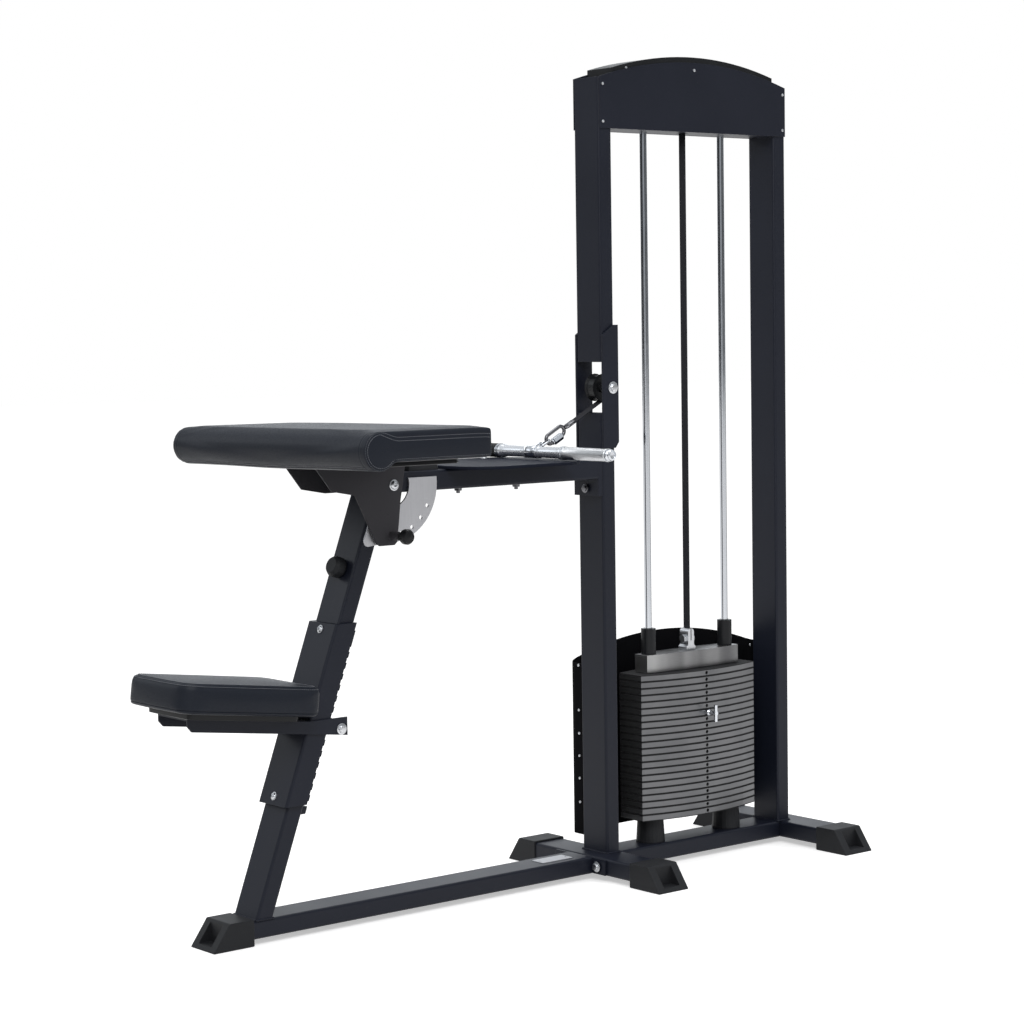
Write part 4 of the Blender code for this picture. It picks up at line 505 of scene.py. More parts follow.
def studio_world():
    world = bpy.data.worlds.new("studio")
    bpy.context.scene.world = world
    shader = Shader(world)
    x, y, z = axes(shader, shader.node("ShaderNodeTexCoord", output="Generated"))
    glow = 0.07 + shader.smooth(z, 0.04, 0.55) * 0.66
    for way, near, height, power in SOFT_BOXES:
        toward = x * way[0] + y * way[1]
        glow = glow + shader.smooth(toward, *near) * shader.smooth(abs(z), *height) * power
    toward = x * LEFT_BACK[0] + y * LEFT_BACK[1]
    glow = glow + shader.smooth(toward, 0.78, 0.95) * shader.smooth(z, 0.10, 0.30) * 1.2
    matt = 0.34 + shader.smooth(z, -0.2, 0.9) * 0.42
    camera_ray = shader.node("ShaderNodeLightPath")
    glossy_ray = camera_ray.beside("Is Glossy Ray")
    white = camera_ray.most(camera_ray.beside("Is Transmission Ray"))
    strength = white + (1 - white) * (glossy_ray * glow + (1 - glossy_ray) * matt)
    sky = world.node_tree.nodes["Background"]
    tint = shader.mix(glossy_ray * (1 - white), (1, 1, 1), (0.92, 0.96, 1.0))
    shader.fill(sky, {"Color": tint, "Strength": strength})
    return world


bpy.context.scene.view_settings.view_transform = "Standard"
print("world:", studio_world().name)

# %% Lamps
def soft_box(name, place, aim, size, power, mirrored=True):
    """A square area lamp that points at a place, seen in mirrors or not."""
    lamp = bpy.data.lights.new(name, "AREA")
    lamp.size = size
    lamp.energy = power
    box = bpy.data.objects.new(name, lamp)
    bpy.context.scene.collection.objects.link(box)
    box.location = place
    box.rotation_euler = (Vector(aim) - Vector(place)).to_track_quat("-Z", "Y").to_euler()
    box.visible_camera = False
    box.visible_glossy = mirrored
    return box


LAMPS = [soft_box("key", (-2.6, -3.4, 4.4), (0, 0, 0.9), 2.4, 110),
         soft_box("side", (3.6, -3.2, 2.6), (0.2, 0, 1.0), 2.0, 34, False),
         soft_box("top", (0.4, 0.8, 4.8), (0, 0, 0.6), 2.6, 60)]
print("lamps:", [lamp.name for lamp in LAMPS])

# %% [markdown]
# The floor is plain and pale, and it must vanish into the white background without losing the
# shadow under the feet. A matt white with a little light of its own does that for the camera and
# for mirrors. The light that it throws up at the machine is dimmed, because a real studio floor
# seldom lights the underside of a black frame that strongly.

# %% Floor
MIRRORED_SHARE, FLOOR_REACH = 0.82, 40


def pale_floor():
    shader = new_shader("pale_floor")
    camera_ray = shader.node("ShaderNodeLightPath")
    seen = camera_ray.most(camera_ray.beside("Is Glossy Ray") * MIRRORED_SHARE)
    shader.fill(shader.surface, {"Roughness": 0.9, "Specular IOR Level": 0.0, "Emission Strength": 1.0})
    shader.finish(Base_Color=shader.mix(seen, (0.20, 0.20, 0.205), (0.90, 0.90, 0.90)),
                  Emission_Color=shader.mix(seen, (0, 0, 0), (0.46, 0.46, 0.46)))
    mesh = bpy.data.meshes.new("floor")
    shape = bmesh.new()
    bmesh.ops.create_grid(shape, x_segments=1, y_segments=1, size=FLOOR_REACH)
    shape.to_mesh(mesh)
    shape.free()
    floor = bpy.data.objects.new("floor", mesh)
    bpy.context.scene.collection.objects.link(floor)
    mesh.materials.append(shader.owner)
    return floor


print("floor:", pale_floor().name)

# %% [markdown]
# Pieces are meshes built from rings of points. A ring may be round, six-sided or any outline, so
# one loft makes a cushion, a hex head and a turned grip. Its two ends close with a fan.

# %% Lofts
def loft(rings, closed=False):
    """A mesh whose skin runs through rings that have the same number of points."""
    shape = bmesh.new()
    rows = [[shape.verts.new(point) for point in ring] for ring in rings]
    count = len(rows[0])
    pairs = list(zip(rows, rows[1:])) + ([(rows[-1], rows[0])] if closed else [])
    for low, high in pairs:
        for i in range(count):
            shape.faces.new((low[i], low[(i + 1) % count], high[(i + 1) % count], high[i]))
    if not closed:
        for row in (rows[0], rows[-1]):
            middle = shape.verts.new(sum((v.co for v in row), Vector()) / count)
            for i in range(count):
                shape.faces.new((row[i], row[(i + 1) % count], middle))
    bmesh.ops.recalc_face_normals(shape, faces=shape.faces)
    mesh = bpy.data.meshes.new("loft")
    shape.to_mesh(mesh)
    shape.free()
    return mesh


def turned(levels, steps=32):
    """A round mesh on +Z from (radius, height) levels. A third entry, 6, makes a level six-sided."""
    rings = []
    for radius, height, *sides in levels:
        ring = []
        for step in range(steps):
            angle = math.tau * step / steps
            reach = radius
            if sides:
                sector = (angle % (math.pi / 3)) - math.pi / 6
                reach = radius / math.cos(sector)
            ring.append(Vector((reach * math.cos(angle), reach * math.sin(angle), height)))
        rings.append(ring)
    return loft(rings)


def piece(name, meshes, body, material, smooth=35):
    """One object from (mesh, matrix) pairs, which rides on a body."""
    shape = bmesh.new()
    for mesh, matrix in meshes:
        mesh.transform(matrix)
        shape.from_mesh(mesh)
    whole = bpy.data.meshes.new(name)
    shape.to_mesh(whole)
    shape.free()
    whole.shade_smooth()
    whole.set_sharp_from_angle(angle=math.radians(smooth))
    whole.materials.append(material)
    made = bpy.data.objects.new(name, whole)
    bpy.context.scene.collection.objects.link(made)
    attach(made, body)
    return made


def facing(place, direction):
    """A matrix that puts a mesh's origin at a place and turns its +Z to a direction."""
    return Matrix.Translation(place) @ Vector(direction).to_track_quat("Z", "Y").to_matrix().to_4x4()


print("lofts and turned meshes are ready")

# %% [markdown]
# Each cushion is foam on a board in a leatherette cover. A swollen shape drawn by hand looks
# stiff, so the foam is settled first: a coarse closed shape is remeshed into even squares and
# simulated as cloth with air pressing from inside. Its underside and its seam lines are held,
# so each panel rises between its seams, and a cap keeps every point near where it began.

# %% Foam that swells inside its cover
AIR_PRESSURE, SETTLE_FRAMES = 4, 20


def frozen(thing):
    """The mesh that an object's modifiers give."""
    return bpy.data.meshes.new_from_object(thing.evaluated_get(bpy.context.evaluated_depsgraph_get()))


def settle(rings, voxel, cap, is_held):
    """Foam that presses its cover outward, with no point moving further than a cap."""
    foam = bpy.data.objects.new("foam", loft(rings))
    bpy.context.scene.collection.objects.link(foam)
    squares = foam.modifiers.new("squares", "REMESH")
    squares.mode, squares.voxel_size = "VOXEL", voxel
    foam.data = frozen(foam)
    foam.modifiers.clear()
    start = [vertex.co.copy() for vertex in foam.data.vertices]
    held = foam.vertex_groups.new(name="held")
    held.add([i for i, place in enumerate(start) if is_held(place)], 1.0, "REPLACE")
    cloth = foam.modifiers.new("cover", "CLOTH")
    cloth.settings.use_pressure, cloth.settings.uniform_pressure_force = True, AIR_PRESSURE
    cloth.settings.effector_weights.gravity = 0
    cloth.settings.vertex_group_mass = "held"
    cloth.point_cache.frame_end = SETTLE_FRAMES
    for moment in range(1, SETTLE_FRAMES + 1):
        bpy.context.scene.frame_set(moment)
    swollen = frozen(foam)
    bpy.context.scene.frame_set(1)
    foam.modifiers.clear()
    for vertex, rest in zip(swollen.vertices, start):
        move = vertex.co - rest
        if move.length > cap:
            vertex.co = rest + move * (cap / move.length)
    foam.data = swollen
    return foam


def near_any(paths, reach):
    """A test of whether a place lies near one of some closed paths."""
    places = [first.lerp(second, share) for path in paths
              for first, second in zip(path, path[1:] + path[:1]) for share in (0, 0.25, 0.5, 0.75)]
    tree = KDTree(len(places))
    for i, place in enumerate(places):
        tree.insert(place, i)
    tree.balance()
    return lambda place: tree.find(place)[2] < reach


print("foam settles for", SETTLE_FRAMES, "frames under a pressure of", AIR_PRESSURE)

# %% [markdown]
# The cover is lofted in fine rings that lie close together at the seams, because remeshing would
# wipe out anything as narrow as a stitch. Every point is then pulled onto the settled foam, and
# the rings that carry a seam are pressed in. The same rings give the paths of the thread.

# %% A cover that is fitted to its foam
FOAM_REACH = 0.012


def fit(rings, foam, presses):
    """A cover on settled foam, pressed in at its seams: its mesh, its rings and their normals."""
    tree = BVHTree.FromPolygons([vertex.co for vertex in foam.data.vertices],
                                [face.vertices[:] for face in foam.data.polygons])
    cover = loft(rings)
    count = len(rings[0])
    outward = [vertex.normal.copy() for vertex in cover.vertices]
    for vertex, normal in zip(cover.vertices, outward):
        found = tree.ray_cast(vertex.co + normal * FOAM_REACH, -normal, FOAM_REACH * 2)[0]
        vertex.co = found or tree.find_nearest(vertex.co)[0]
    for i, vertex in enumerate(cover.vertices[:count * len(rings)]):
        vertex.co -= outward[i] * presses(i // count, i % count)
    bpy.data.objects.remove(foam)
    starts = range(0, count * len(rings), count)
    fitted = [[vertex.co.copy() for vertex in cover.vertices[start:start + count]] for start in starts]
    return cover, fitted, [outward[start:start + count] for start in starts]


print("a cover is fitted with a reach of", FOAM_REACH)

# %% [markdown]
# Thread is modelled too: a row of short stitches that dip into the cover at both ends. A path is
# walked at an even pace, and each stitch is a thin spindle that lies along it. The thread's light
# grey is partly its own colour and partly a painted highlight, for the line of light along a seam.

# %% Stitches
STITCH, STITCH_GAP, THREAD = 0.0048, 0.0010, 0.00075
SPINDLE = [(0.00012, -0.5), (THREAD * 0.8, -0.38), (THREAD, 0), (THREAD * 0.8, 0.38), (0.00012, 0.5)]


def walk(path, closed=True):
    """Places at any distance along a path, as a function, with the path's whole length."""
    points = path + path[:1] if closed else path
    lengths = [0.0]
    for first, second in zip(points, points[1:]):
        lengths.append(lengths[-1] + (second - first).length)

    def place(distance):
        for i in range(len(points) - 1):
            if distance <= lengths[i + 1]:
                share = (distance - lengths[i]) / max(lengths[i + 1] - lengths[i], 1e-9)
                return points[i].lerp(points[i + 1], share)
        return points[-1]

    return place, lengths[-1]


def stitches(path, normals, lift, closed=True):
    """Spindles along a path on a cover, which together look like a sewn line."""
    place, length = walk([p + n * lift for p, n in zip(path, normals)], closed)
    made = []
    count = int(length / (STITCH + STITCH_GAP))
    for step in range(count):
        middle = (step + 0.5) * length / count
        ends = place(middle - STITCH / 2), place(middle + STITCH / 2)
        spindle = turned(SPINDLE, 6)
        stretch = Matrix.Diagonal((1, 1, (ends[1] - ends[0]).length, 1))
        made.append((spindle, facing((ends[0] + ends[1]) / 2, ends[1] - ends[0]) @ stretch))
    return made


# Light grey thread: partly its own colour, partly a painted highlight along the seams.
THREAD_AND_HIGHLIGHT_GREY = moulding("grey_thread_painted_highlight", (0.16, 0.17, 0.19), (0.26, 0.27, 0.30), 0.40, 900, 0.00005)
print("made", THREAD_AND_HIGHLIGHT_GREY.name, "for stitches of", STITCH)

# %% [markdown]
# Seen from above the seat is a rectangle with round corners and a front edge that bows outward.
# A ring at any height is that outline drawn in by some distance. Going up, the rings make the
# drawn-in underside, a seam just above it, a straight side, a round edge, the seam on top and a low
# crown, with a row of thread on either side of that seam. The seat slopes down toward the post, so
# all of it is turned at the end.

# %% Seat cushion: rings
SEAT_LONG, SEAT_WIDE, SEAT_ROUND, SEAT_LEAST_ROUND = 0.405, 0.280, 0.045, 0.011
SEAT_BOW, SEAT_BOW_REACH, SEAT_SLOPE = 0.008, 0.12, 7.2
SEAT_TURN = Matrix.Translation(at(-1.38564, 0, 0.60176))
SEAT_TURN @= Matrix.Rotation(math.radians(SEAT_SLOPE), 4, "Y")
CORNERS = ((1, 1, 0), (-1, 1, 90), (-1, -1, 180), (1, -1, 270))


def spread(first, last, count):
    """Even steps from one number up to another, without the last."""
    return [first + (last - first) * step / count for step in range(count)]


def turn_to(degrees, radius=1.0):
    """The two coordinates of a place on a circle."""
    angle = math.radians(degrees)
    return radius * math.cos(angle), radius * math.sin(angle)


def seat_ring(height, inset):
    """The seat's outline at a height, drawn in by a distance."""
    long, wide = SEAT_LONG / 2 - inset, SEAT_WIDE / 2 - inset
    radius = max(SEAT_ROUND - inset, SEAT_LEAST_ROUND)
    flat = []
    for across, along, start in CORNERS:
        centre = Vector((across * (long - radius), along * (wide - radius)))
        flat += [centre + radius * Vector(turn_to(angle)) for angle in spread(start, start + 90, 10)]
        aim = turn_to(start + 90)
        last = centre + radius * Vector(aim)
        run = Vector((-aim[1] * (long - radius), aim[0] * (wide - radius))) * 2
        flat += [last + run * share for share in spread(0, 1, 24 if start in (0, 180) else 14)]
    ring = []
    for place in flat:
        front = max(0.0, 1 - (place.x + SEAT_LONG / 2) / SEAT_BOW_REACH)
        bow = SEAT_BOW * (1 - (2 * place.y / SEAT_WIDE) ** 2) * front
        ring.append(SEAT_TURN @ Vector((place.x + SEAT_LONG / 2 - bow, place.y, height)))
    return ring


SEAT_FOAM = [(0.000, 0.014), (0.002, 0.006), (0.012, 0.003), (0.054, 0.003), (0.065, 0.005),
             (0.0715, 0.011), (0.0735, 0.018), (0.076, 0.040), (0.078, 0.070), (0.079, 0.100),
             (0.079, 0.126)]
SEAT_COVER = [(0.0, 0.125), (0.0, 0.060), (0.0, 0.025), (0.0, 0.012), (0.0008, 0.006), (0.0035, 0.002),
              (0.0060, 0.0008), (0.0080, 0.0004), (0.0090, 0.0004), (0.0100, 0.0004), (0.0120, 0.0003),
              (0.018, 0.0), (0.028, 0.0), (0.038, 0.0), (0.048, 0.0), (0.056, 0.0), (0.0615, 0.0006),
              (0.0660, 0.0022), (0.0700, 0.0050), (0.0728, 0.0085), (0.0743, 0.0112), (0.0749, 0.0129),
              (0.0752, 0.0140), (0.0755, 0.0151), (0.0759, 0.0168), (0.0765, 0.0200), (0.0774, 0.026),
              (0.0786, 0.036), (0.0798, 0.050), (0.0808, 0.070), (0.0813, 0.092), (0.0815, 0.112),
              (0.0815, 0.127)]
SEAT_SEAMS = {8: 0.0022, 22: 0.0020}
SEAT_THREAD_ROWS, SEAT_THREAD_LIFT = (18, 24), 0.0006
SEAT_VOXEL, SEAT_CAP, SEAM_HOLD, UNDERSIDE = 0.005, 0.0042, 0.005, 0.004
print("the seat's cover has", len(SEAT_COVER), "rings of", len(seat_ring(0, 0)), "points")

# %% Seat cushion: cover, thread and board
def cushion(name, cover, threads, body, node):
    """A fitted cover with one subdivision, and its thread as a piece of its own."""
    smooth = bpy.data.objects.new("smooth", cover)
    bpy.context.scene.collection.objects.link(smooth)
    smooth.modifiers.new("finer", "SUBSURF").levels = 1
    skin = piece(name, [(frozen(smooth), Matrix())], body, LEATHERETTE, 60)
    bpy.data.objects.remove(smooth)
    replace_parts(skin, node)
    piece(name + "_stitching", threads, body, THREAD_AND_HIGHLIGHT_GREY, 60)
    return skin


seat_cover = [seat_ring(*level) for level in SEAT_COVER]
seat_held = near_any([seat_cover[row] for row in SEAT_SEAMS], SEAM_HOLD)
seat_low = SEAT_TURN.inverted()
seat_foam = settle([seat_ring(*level) for level in SEAT_FOAM], SEAT_VOXEL, SEAT_CAP,
                   lambda place: (seat_low @ place).z < UNDERSIDE or seat_held(place))
seat_mesh, seat_rings, seat_out = fit(seat_cover, seat_foam, lambda row, i: SEAT_SEAMS.get(row, 0))
seat_thread = []
for row in SEAT_THREAD_ROWS:
    seat_thread += stitches(seat_rings[row], seat_out[row], SEAT_THREAD_LIFT)
seat_cushion = cushion("seat_cushion", seat_mesh, seat_thread, "seat", "seat_pad")
SEAT_BOARD = ((-0.0155, 0.0485), (-0.0145, 0.0465), (-0.0015, 0.0455), (0.0010, 0.0455))
seat_board = loft([seat_ring(*level) for level in SEAT_BOARD])
piece("seat_board", [(seat_board, Matrix())], "seat", PLASTIC)
print("seat cushion:", len(seat_cushion.data.polygons), "faces,", len(seat_thread), "stitches")

# %% [markdown]
# The arm pad is a slab that ends in a round roll, with one profile along its whole width. Each
# point of the profile lies on the roll or on the slab, and it is drawn in by shrinking the roll's
# radius or by holding the point inside a smaller rectangle. At the two ends the cover turns over
# a soft edge, and a seam runs around the end panel: close to the edge on the roll, lower down on
# the slab. Its place decides how far each point is drawn in. The pad leans by half a degree across.

# %% Arm pad: profile
ROLL, ROLL_RADIUS, ROLL_EXIT = at(-1.00803, 0, 1.2039), 0.049, 323.7
PAD_HALF, PAD_BOTTOM, PAD_TOP, PAD_REAR, PAD_CORNER = 0.419, 1.1749, 1.2527, at(-0.67603, 0, 0).x, 0.012
PAD_EDGE, PAD_LEAN_ANGLE = 0.0045, -0.5
PAD_LEAN = Matrix.Translation((0, 0, PAD_BOTTOM)) @ Matrix.Rotation(math.radians(PAD_LEAN_ANGLE), 4, "X")
PAD_LEAN @= Matrix.Translation((0, 0, -PAD_BOTTOM))


def pad_profile():
    """(x, z, on the roll?) around the pad, from its rear lower corner upward."""
    rear, low, high = PAD_REAR - PAD_CORNER, PAD_BOTTOM + PAD_CORNER, PAD_TOP - PAD_CORNER

    def arc(x, z, radius, first, last, steps, on_roll):
        turns = [turn_to(angle, radius) for angle in spread(first, last, steps)]
        return [(x + along, z + up, on_roll) for along, up in turns]

    points = arc(rear, low, PAD_CORNER, 270, 360, 5, False)
    points += [(PAD_REAR, z, False) for z in spread(low, high, 6)]
    points += arc(rear, high, PAD_CORNER, 0, 90, 5, False)
    points += [(x, PAD_TOP, False) for x in spread(rear, ROLL.x, 26)]
    points += arc(ROLL.x, ROLL.z, ROLL_RADIUS, 90, ROLL_EXIT, 46, True)
    leave = ROLL.x + turn_to(ROLL_EXIT, ROLL_RADIUS)[0]
    return points + [(x, PAD_BOTTOM, False) for x in spread(leave, rear, 20)]


def tuck(point, roll, top, bottom, rear):
    """A point of the profile, drawn in by a distance that depends on its side."""
    x, z, on_roll = point
    if on_roll:
        share = (ROLL_RADIUS - roll) / ROLL_RADIUS
        return ROLL.x + (x - ROLL.x) * share, ROLL.z + (z - ROLL.z) * share
    return min(x, PAD_REAR - rear), min(max(z, PAD_BOTTOM + bottom), PAD_TOP - top)


def pad_ring(y, inset):
    """The profile at a place across the pad, drawn in evenly except underneath."""
    return [Vector((x, y, z)) for x, z in (tuck(p, inset, inset, max(inset, 0), inset) for p in PROFILE)]


SEAM_FALL, SEAM_FALL_REACH, PANEL_BULGE, PANEL_Z = 0.0130, 0.05, 0.0015, 1.2095


def end_ring(side, share, extra):
    """A ring on an end: a share of the way to its seam, or a little before or beyond it."""
    ring = []
    for point in PROFILE:
        step = min(max((point[0] - ROLL.x) / SEAM_FALL_REACH, 0), 1)
        top = 0.0045 + SEAM_FALL * step * step * (3 - 2 * step)
        sides = ((0.0045, 0.6), (top, 1), (0.006, 0.4), (0.003, 0.2))
        x, z = tuck(point, *((depth + extra * way) * share for depth, way in sides))
        moved = min(math.hypot(x - point[0], z - point[1]), PAD_EDGE)
        fall = PAD_EDGE - math.sqrt(PAD_EDGE ** 2 - (PAD_EDGE - moved) ** 2)
        ring.append(Vector((x, side * (PAD_HALF - fall), z)))
    return ring


def end_panel(side, ring, share):
    """A ring on the flat end, drawn toward the line through the roll and the slab."""
    inner = []
    for place in ring:
        x = min(max(place.x, ROLL.x), PAD_REAR - 0.039)
        middle = Vector((x, side * (PAD_HALF + PANEL_BULGE), PANEL_Z))
        inner.append(place.lerp(middle, share))
        inner[-1].y = place.y + (middle.y - place.y) * min(1, share * 4)
    return inner


PROFILE = pad_profile()
print("the pad's profile has", len(PROFILE), "points")

# %% Arm pad: cover and thread
SEAM_STEPS = (-0.0026, -0.0012, 0.0, 0.0012, 0.0042, 0.0072, 0.0085, 0.0098, 0.0115)
BAND, BAND_STEPS = 0.024, (0.0035, 0.0012, 0, -0.0012, -0.0035)
PAD_CROWN, INNER_HALF = 0.003, PAD_HALF - 0.034


def pad_end(side):
    """The rings of one end, from its middle outward to where the pad's width starts."""
    seam = [end_ring(side, 1, extra) for extra in SEAM_STEPS]
    panel = [end_panel(side, seam[-1], share) for share in (0.92, 0.7, 0.45, 0.25, 0.1)]
    turn = [end_ring(side, share, SEAM_STEPS[0]) for share in (0.8, 0.58, 0.36, 0.16, 0.0)]
    band = [pad_ring(side * (PAD_HALF - BAND + step), 0) for step in BAND_STEPS]
    return panel + seam[::-1] + turn + band


across = [INNER_HALF * share for share in (1, 0.95, 0.9, 0.84)] + spread(0.305, -0.305, 30)
across += [-INNER_HALF * share for share in (0.79, 0.84, 0.9, 0.95, 1)]
crowned = [pad_ring(y, -PAD_CROWN * (1 - (y / PAD_HALF) ** 2)) for y in across]
pad_cover = pad_end(1) + crowned + pad_end(-1)[::-1]
rows = len(pad_cover)
END_SEAM, PANEL_SEAM, BAND_SEAM, ROLL_SEAM = 11, 7, 21, 71
PAD_SEAMS = {PANEL_SEAM: 0.0010, END_SEAM: 0.0014, BAND_SEAM: 0.0010}
PAD_SEAMS |= {rows - 1 - row: depth for row, depth in PAD_SEAMS.items()}
pad_held = near_any([pad_cover[row] for row in PAD_SEAMS], SEAM_HOLD)
FOAM_END, FOAM_SHOULDER, FOAM_INSET = PAD_HALF - 0.0008, PAD_HALF - 0.004, 0.0012
PAD_VOXEL, PAD_CAP = 0.006, 0.0028
near_end, far_end = pad_ring(FOAM_END, 0.0045), pad_ring(-FOAM_END, 0.0045)
foam_rings = [end_panel(1, near_end, 0.8), near_end]
foam_places = [FOAM_SHOULDER, *spread(0.36, -0.36, 12), -0.36, -FOAM_SHOULDER]
foam_rings += [pad_ring(y, FOAM_INSET) for y in foam_places]
foam_rings += [far_end, end_panel(-1, far_end, 0.8)]
pad_foam = settle(foam_rings, PAD_VOXEL, PAD_CAP,
                  lambda place: (place.z < PAD_BOTTOM + UNDERSIDE and place.x > ROLL.x + 0.045)
                  or pad_held(place))


inside = range(BAND_SEAM + 1, rows - 1 - BAND_SEAM)


def pad_press(row, i):
    """How deep a seam presses a point of the cover in, also along the foot of the roll."""
    return max(PAD_SEAMS.get(row, 0), 0.0014 if i == ROLL_SEAM and row in inside else 0)


pad_mesh, pad_rings, pad_out = fit(pad_cover, pad_foam, pad_press)
pad_thread = []
for row in (PANEL_SEAM, END_SEAM, rows - 1 - END_SEAM, rows - 1 - PANEL_SEAM):
    pad_thread += stitches(pad_rings[row], pad_out[row], 0.0004)
for column in (ROLL_SEAM - 1, ROLL_SEAM + 1):
    pad_thread += stitches([pad_rings[row][column] for row in inside],
                           [pad_out[row][column] for row in inside], 0.0002, closed=False)


SLUMP, SLUMP_REACH = 0.0030, 0.060


def slump(place):
    """How far the cushion's top gives way toward its rear edge, and toward its far end."""
    height = max(0, (place.z - PAD_BOTTOM) / (PAD_TOP - PAD_BOTTOM))
    rear = max(0, 1 - (PAD_REAR - place.x) / SLUMP_REACH) ** 2
    far = max(0, place.y / PAD_HALF) ** 2 * max(0, (place.x - ROLL.x) / (PAD_REAR - ROLL.x))
    return height * (SLUMP * rear + SLUMP * far)


for vertex in pad_mesh.vertices:
    vertex.co.z -= slump(vertex.co)
pad_thread = [(stitch, PAD_LEAN @ Matrix.Translation((0, 0, -slump(place.translation))) @ place)
              for stitch, place in pad_thread]
pad_mesh.transform(PAD_LEAN)
arm_cushion = cushion("arm_cushion", pad_mesh, pad_thread, "arm_rest", "arm_pad")
print("arm cushion:", len(arm_cushion.data.polygons), "faces,", len(pad_thread), "stitches")

# %% [markdown]
# The strap ends in a quick link, a short link and an eye, and each hangs in the next. They are
# wires bent into a loop, so one function sweeps a round section along a flat path. The barrel nut
# is a six-sided sleeve on the link's lower side, and it is brighter than the link it closes.

# %% Links between strap and bar
TAIL_START, TAIL_FALL = at(0.0481, 0, 1.2938), math.radians(28)
TAIL_DOWN = Vector((-math.cos(TAIL_FALL), 0, -math.sin(TAIL_FALL)))
TAIL_UP = Vector((-math.sin(TAIL_FALL), 0, math.cos(TAIL_FALL)))


def on_tail(distance, side=0.0, across=0.0):
    """A place along the strap's run to the bar, with offsets square to it."""
    return TAIL_START + TAIL_DOWN * distance + TAIL_UP * side + Vector((0, across, 0))


def swept(path, radius, flat, closed=False, sides=12):
    """A round wire along a flat path. Flat is the direction square to the path's plane."""
    flat = Vector(flat)
    rings = []
    for i, place in enumerate(path):
        before = path[i - 1] if i or closed else path[0]
        after = path[(i + 1) % len(path)] if i + 1 < len(path) or closed else path[-1]
        side = (after - before).normalized().cross(flat).normalized()
        rings.append([place + radius * (math.cos(angle) * flat + math.sin(angle) * side)
                      for angle in spread(0, math.tau, sides)])
    return loft(rings, closed)


def looped(start, length, width, upright):
    """A link's middle line with round ends, upright in the swing's plane or lying across it."""
    radius, path = width / 2, []
    for centre, first in ((start + radius, 90), (start + length - radius, -90)):
        for angle in spread(first, first + 180.1, 14):
            along, side = turn_to(angle, radius)
            path.append(on_tail(centre + along, side) if upright else on_tail(centre + along, 0, side))
    return path


CAMERA_SIDE, FAR_SIDE, SEAT_SIDE, DOWN, UP = (0, -1, 0), (0, 1, 0), (-1, 0, 0), (0, 0, -1), (0, 0, 1)
HOOK_START, HOOK_LENGTH, HOOK_WIDTH, HOOK_WIRE = 0.1630, 0.0676, 0.0255, 0.0050
LINK_START, LINK_LENGTH, LINK_WIDTH, LINK_WIRE = 0.2226, 0.0320, 0.0150, 0.0030
hook_loop = swept(looped(HOOK_START, HOOK_LENGTH, HOOK_WIDTH, True), HOOK_WIRE, FAR_SIDE, True)
hook = piece("quick_link", [(hook_loop, Matrix())], "bar_hang", DARK_STEEL, 60)
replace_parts(hook, "snap_hook")
nut_middle = on_tail(HOOK_START + HOOK_LENGTH / 2, -HOOK_WIDTH / 2)
nut = turned([(0.0050, -0.0185), (0.0082, -0.0185), (0.0092, -0.0172, 6), (0.0092, 0.0130, 6),
              (0.0082, 0.0144), (0.0068, 0.0146), (0.0068, 0.0180), (0.0050, 0.0182)])
piece("quick_link_nut", [(nut, facing(nut_middle, TAIL_DOWN))], "bar_hang", CHROME)
link_loop = swept(looped(LINK_START, LINK_LENGTH, LINK_WIDTH, False), LINK_WIRE, TAIL_UP, True)
link = piece("short_link", [(link_loop, Matrix())], "bar_hang", CHROME, 60)
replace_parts(link, "bar_link")
print("links hang from", [round(v, 3) for v in nut_middle])

# %% Hanger
BAR_REACH, BAR_RADIUS, SLEEVE_RADIUS, SLEEVE_HALF = 0.2846, 0.0125, 0.0165, 0.018
EYE_TOP, EYE_HALF, EYE_WIRE = 0.2476, 0.0090, 0.0032
eye_end = BAR_REACH - math.sqrt(SLEEVE_RADIUS ** 2 - EYE_HALF ** 2) + EYE_WIRE / 2
eye = [on_tail(eye_end, EYE_HALF)]
for angle in spread(90, 270.1, 14):
    along, side = turn_to(angle, EYE_HALF)
    eye.append(on_tail(EYE_TOP + EYE_HALF + along, side))
eye.append(on_tail(eye_end, -EYE_HALF))
sleeve = turned([(BAR_RADIUS + 0.0006, -SLEEVE_HALF), (SLEEVE_RADIUS - 0.001, -SLEEVE_HALF),
                 (SLEEVE_RADIUS, 0.001 - SLEEVE_HALF), (SLEEVE_RADIUS, SLEEVE_HALF - 0.001),
                 (SLEEVE_RADIUS - 0.001, SLEEVE_HALF), (BAR_RADIUS + 0.0006, SLEEVE_HALF)], 40)
hanger = piece("bar_eye", [(swept(eye, EYE_WIRE, FAR_SIDE), Matrix()),
                           (sleeve, facing(on_tail(BAR_REACH), FAR_SIDE))],
               "bar_hang", CHROME, 60)
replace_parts(hanger, "bar_hanger")
print("the bar hangs at", [round(v, 3) for v in on_tail(BAR_REACH)])

# %% [markdown]
# The bar is turned from one profile: a polished middle, a flared collar before each grip, and a
# stepped end. The grips turn with it. The near one is knurled metal between two plain rings, and
# the far one is ribbed rubber with bright rings at its inner end. Its dark colour is partly painted
# shade, for the shadow that the arm pad casts on it.

# %% Bar and grips
def on_bar(levels, steps=40):
    """A mesh turned about the bar's axis, from (radius, place along the bar) levels."""
    return turned(levels, steps), facing(on_tail(BAR_REACH), FAR_SIDE)


